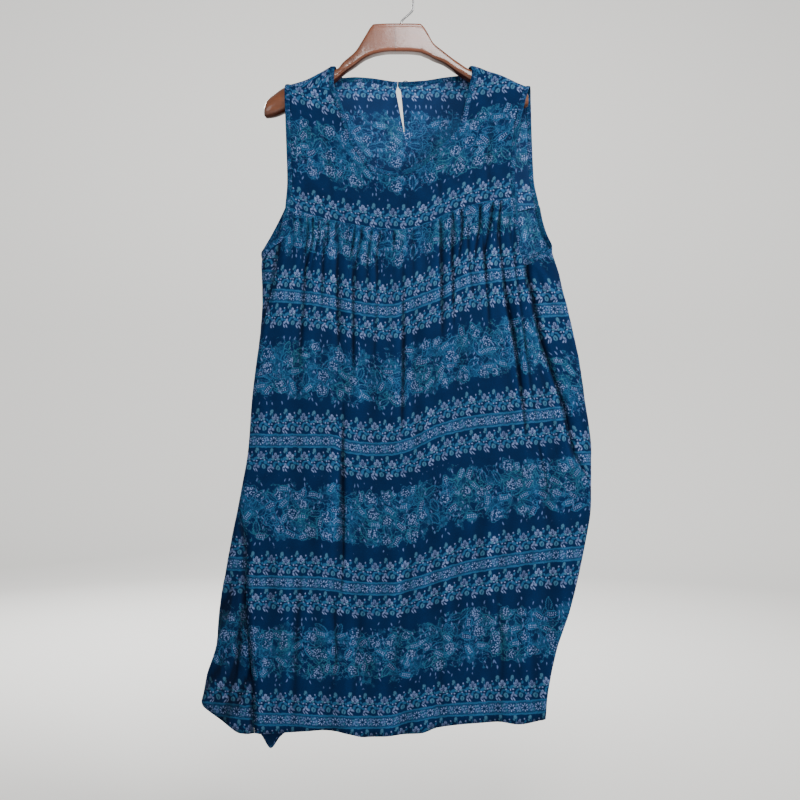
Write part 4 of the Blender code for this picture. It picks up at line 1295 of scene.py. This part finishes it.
def left_armhole(front, back, front_panel, back_panel):
    """The left armhole's edge, down the front and up the back."""
    return [
        *front[:-1, 0],
        *front_panel[0, FRONT_SIDES[0] - 1 :: -1],
        *back_panel[0, 1 : BACK_SIDES[0]],
        *back[-2:0:-1, 0],
    ]


def right_armhole(front, back, front_panel, back_panel):
    """The right armhole's edge, down the front and up the back."""
    return [
        *front[:-1, -1],
        *front_panel[0, -FRONT_SIDES[1] :],
        *back_panel[0, -2 : -BACK_SIDES[1] - 1 : -1],
        *back[-2:0:-1, -1],
    ]


def neck_edge(front, back, *_):
    """The neck's edge, from the slit round the front and back to the slit."""
    return [
        *back[0, middle:SHOULDER_STEPS:-1],
        *front[0, SHOULDER_STEPS : SHOULDER_STEPS + FRONT_NECK_STEPS + 1],
        *back[0, SHOULDER_STEPS + BACK_NECK_STEPS - 1 : middle : -1],
    ]


all_points, all_normals = zip(front_grids, back_grids, front_skirt_grids, back_skirt_grids)
binding_left, binding_right, neck_binding = (
    make_binding(
        name, np.array(edge(*all_points)), np.array(edge(*all_normals)), closed, flip
    )
    for name, edge, closed, flip in (
        ("armhole_binding_left_band", left_armhole, True, 1),
        ("armhole_binding_right_band", right_armhole, True, -1),
        ("neck_binding_band", neck_edge, False, -1),
    )
)


def make_hanger():
    """The hanger's body, lofted smoothly through the sections of its table."""
    stretches = (
        (-214, -204, 10),
        (-203, -64, 60),
        (-63, -34, 24),
        (-32, 26, 22),
        (28, 56, 24),
        (58, 192, 60),
        (193, 202, 10),
    )
    xs = np.concatenate([np.linspace(*stretch) for stretch in stretches]) * MM
    sides = 44
    angles = 2 * math.pi * np.arange(sides) / sides
    c, s = np.cos(angles), np.sin(angles)
    shape = bmesh.new()
    loops = []
    for x in xs:
        top, bottom, depth = look_up(HANGER, "x", "top bottom depth", x)
        # The block's sections are squarer than those of the arms and of the rounded tips.
        blend = smooth_step((abs(x) - 0.040) / 0.05)
        rounder = smooth_step((abs(x) - 0.165) / 0.035)
        power = 0.26 + 0.38 * blend + 0.28 * rounder
        y = depth * np.copysign(np.abs(c) ** power, c)
        z = (top + bottom) / 2 + (top - bottom) / 2 * np.copysign(np.abs(s) ** power, s)
        loops.append([shape.verts.new((x, y[k], z[k])) for k in range(sides)])
    for ring, following in zip(loops, loops[1:]):
        for k in range(sides):
            m = (k + 1) % sides
            shape.faces.new([ring[k], following[k], following[m], ring[m]])
    shape.faces.new(loops[0])
    shape.faces.new(loops[-1][::-1])
    mesh = smooth_mesh(shape, bpy.data.meshes.new("hanger_body"))
    # The underside of each section, which the wood's material paints dark as painted shade.
    keep(mesh, "under", np.tile(smooth_step((-s - 0.55) / 0.25), len(xs)))
    return link("hanger_body", mesh, wood)


def make_wire(name, path, radius, material):
    curve = bpy.data.curves.new(name, "CURVE")
    curve.dimensions = "3D"
    curve.bevel_depth = radius
    curve.bevel_resolution = 8
    curve.use_fill_caps = True
    spline = curve.splines.new("POLY")
    spline.points.add(len(path) - 1)
    for corner, point in zip(spline.points, path):
        corner.co = (*point, 1)
    spline.use_smooth = True
    return link(name, curve, material)


def hook_path():
    """From inside the block up the shank, eased sideways, and round the open hook."""
    start = HANGER_TOP + 2 * MM
    path = [(HOOK_X, 0, HANGER_TOP - 4 * MM), (HOOK_X, 0, start)]
    for step in np.linspace(0, 1, 25)[1:]:
        x = HOOK_X + (HOOK_RADIUS - HOOK_X) * float(smooth_step(step))
        path.append((x, 0, start + (HOOK_SHANK - 2 * MM) * step))
    for angle in np.linspace(0, math.radians(HOOK_TURN), 60):
        z = HOOK_WIRE - HOOK_RADIUS + HOOK_RADIUS * math.sin(angle)
        path.append((HOOK_RADIUS * math.cos(angle), 0, z))
    return path


def lathe(profile, segments, place, mesh):
    """A shape turned from a profile of (radius, distance along the axis). place gives the point
    for a corner's two distances from the axis and its distance along it."""
    shape = bmesh.new()
    rings = []
    for radius, along in profile:
        ring = []
        for k in range(segments if radius else 1):
            angle = 2 * math.pi * k / segments
            point = place(radius * math.cos(angle), radius * math.sin(angle), along)
            ring.append(shape.verts.new(point))
        rings.append(ring)
    for first, second in zip(rings, rings[1:]):
        for k in range(segments):
            m = (k + 1) % segments
            corners = [first[k % len(first)], first[m % len(first)]]
            corners += [second[m % len(second)], second[k % len(second)]]
            shape.faces.new(list(dict.fromkeys(corners)))
    return smooth_mesh(shape, mesh)


def make_button():
    """A small round button with a raised rim, turned from its profile."""
    low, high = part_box("neck_button")
    x, y, z = (Vector(low) + Vector(high)) / 2
    radius = (high[0] - low[0]) / 2
    half = (high[1] - low[1]) / 2
    # Shares of the button's radius and of half its thickness
    shares = (
        (0, -1),
        (0.86, -1),
        (1.0, -0.2),
        (0.97, 0.75),
        (0.88, 1),
        (0.74, 0.8),
        (0.62, 0.35),
        (0, 0.25),
    )
    profile = [(radius * across, half * out) for across, out in shares]
    mesh = bpy.data.meshes.new("neck_button_disc")
    mesh = lathe(profile, 40, lambda a, b, along: (x + a, y + along, z + b), mesh)
    return link("neck_button_disc", mesh, button_finish)


hanger = make_hanger()
hook = make_wire("hook_wire", hook_path(), HOOK_WIRE, steel)
button = make_button()
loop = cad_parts["button_loop"]
loop.data.materials.clear()
loop.data.materials.append(button_finish)

for piece, node, slot in (
    (front_yoke, "front_yoke", "cloth"),
    (back_yoke, "back_yoke", "cloth"),
    (front_skirt, "front_skirt", "cloth"),
    (back_skirt, "back_skirt", "cloth"),
    (binding_left, "armhole_binding_left", "binding"),
    (binding_right, "armhole_binding_right", "binding"),
    (neck_binding, "neck_binding", "binding"),
    (hanger, "hanger", "wood"),
    (hook, "hook", "chrome"),
    (button, "neck_button", "button"),
):
    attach(piece, "root")
    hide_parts(node)


# Studio: a floor that curves up into a wall all round, in metres
FLOOR_HEIGHT = -1.45
FLOOR_RADIUS = 3.2
CURVE_RADIUS = 1.2
WALL_TOP = 3.2
profile = [(0.0, FLOOR_HEIGHT), (FLOOR_RADIUS, FLOOR_HEIGHT)]
for angle in np.linspace(0, math.pi / 2, 12)[1:]:
    rise = CURVE_RADIUS * (1 - math.cos(angle))
    profile.append((FLOOR_RADIUS + CURVE_RADIUS * math.sin(angle), FLOOR_HEIGHT + rise))
profile.append((FLOOR_RADIUS + CURVE_RADIUS, WALL_TOP))
pale, _, pale_shader = new_material("studio_pale")
pale_shader["Base Color"].default_value = (0.86, 0.85, 0.82, 1)
pale_shader["Roughness"].default_value = 0.95
pale_shader["Specular IOR Level"].default_value = 0.1
mesh = lathe(profile, 96, lambda a, b, along: (a, b, along), bpy.data.meshes.new("studio_floor"))
studio = link("studio_floor", mesh, pale)
studio.visible_diffuse = False
studio.visible_shadow = False

world = bpy.data.worlds.new("studio_world")
bpy.context.scene.world = world
world.use_nodes = True
background = world.node_tree.nodes["Background"].inputs
background["Color"].default_value = (1.0, 0.99, 0.97, 1)
background["Strength"].default_value = 0.40

# Name, place, target, size and power of each light
for name, place, target, size, power in (
    ("key", (2.4, -1.4, 0.4), (0, 0, -0.6), 0.7, 72),
    ("fill", (-2.0, -2.6, -0.2), (0, 0, -0.7), 1.6, 15),
    ("top", (0.25, -1.5, 1.2), (0.05, 0, -0.2), 0.6, 14),
    ("glint", (0.24, -1.6, 0.42), (0, 0, -0.1), 0.50, 13),
    ("backdrop", (0, 1.4, 1.0), (0, 4.4, -0.6), 2.4, 110),
    ("behind", (-1.4, 2.4, 0.5), (0, 0, -0.6), 1.2, 70),
):
    data = bpy.data.lights.new(name, "AREA")
    data.size = size
    data.energy = power
    lamp = link(name, data)
    lamp.location = place
    way = Vector(target) - Vector(place)
    lamp.rotation_euler = way.to_track_quat("-Z", "Y").to_euler()

# The photo's width covers 1.264 m at the dress, seen from 1.65 m in front of it.
CAMERA_DISTANCE = 1.65
VIEW_WIDTH = 1.264
camera_data = bpy.data.cameras.new("camera")
camera_data.sensor_width = 36
camera_data.lens = 36 * CAMERA_DISTANCE / VIEW_WIDTH
camera = link("camera", camera_data)
camera.location = (0, -CAMERA_DISTANCE, -0.651)
camera.rotation_euler = (math.pi / 2, 0, 0)
bpy.context.scene.camera = camera
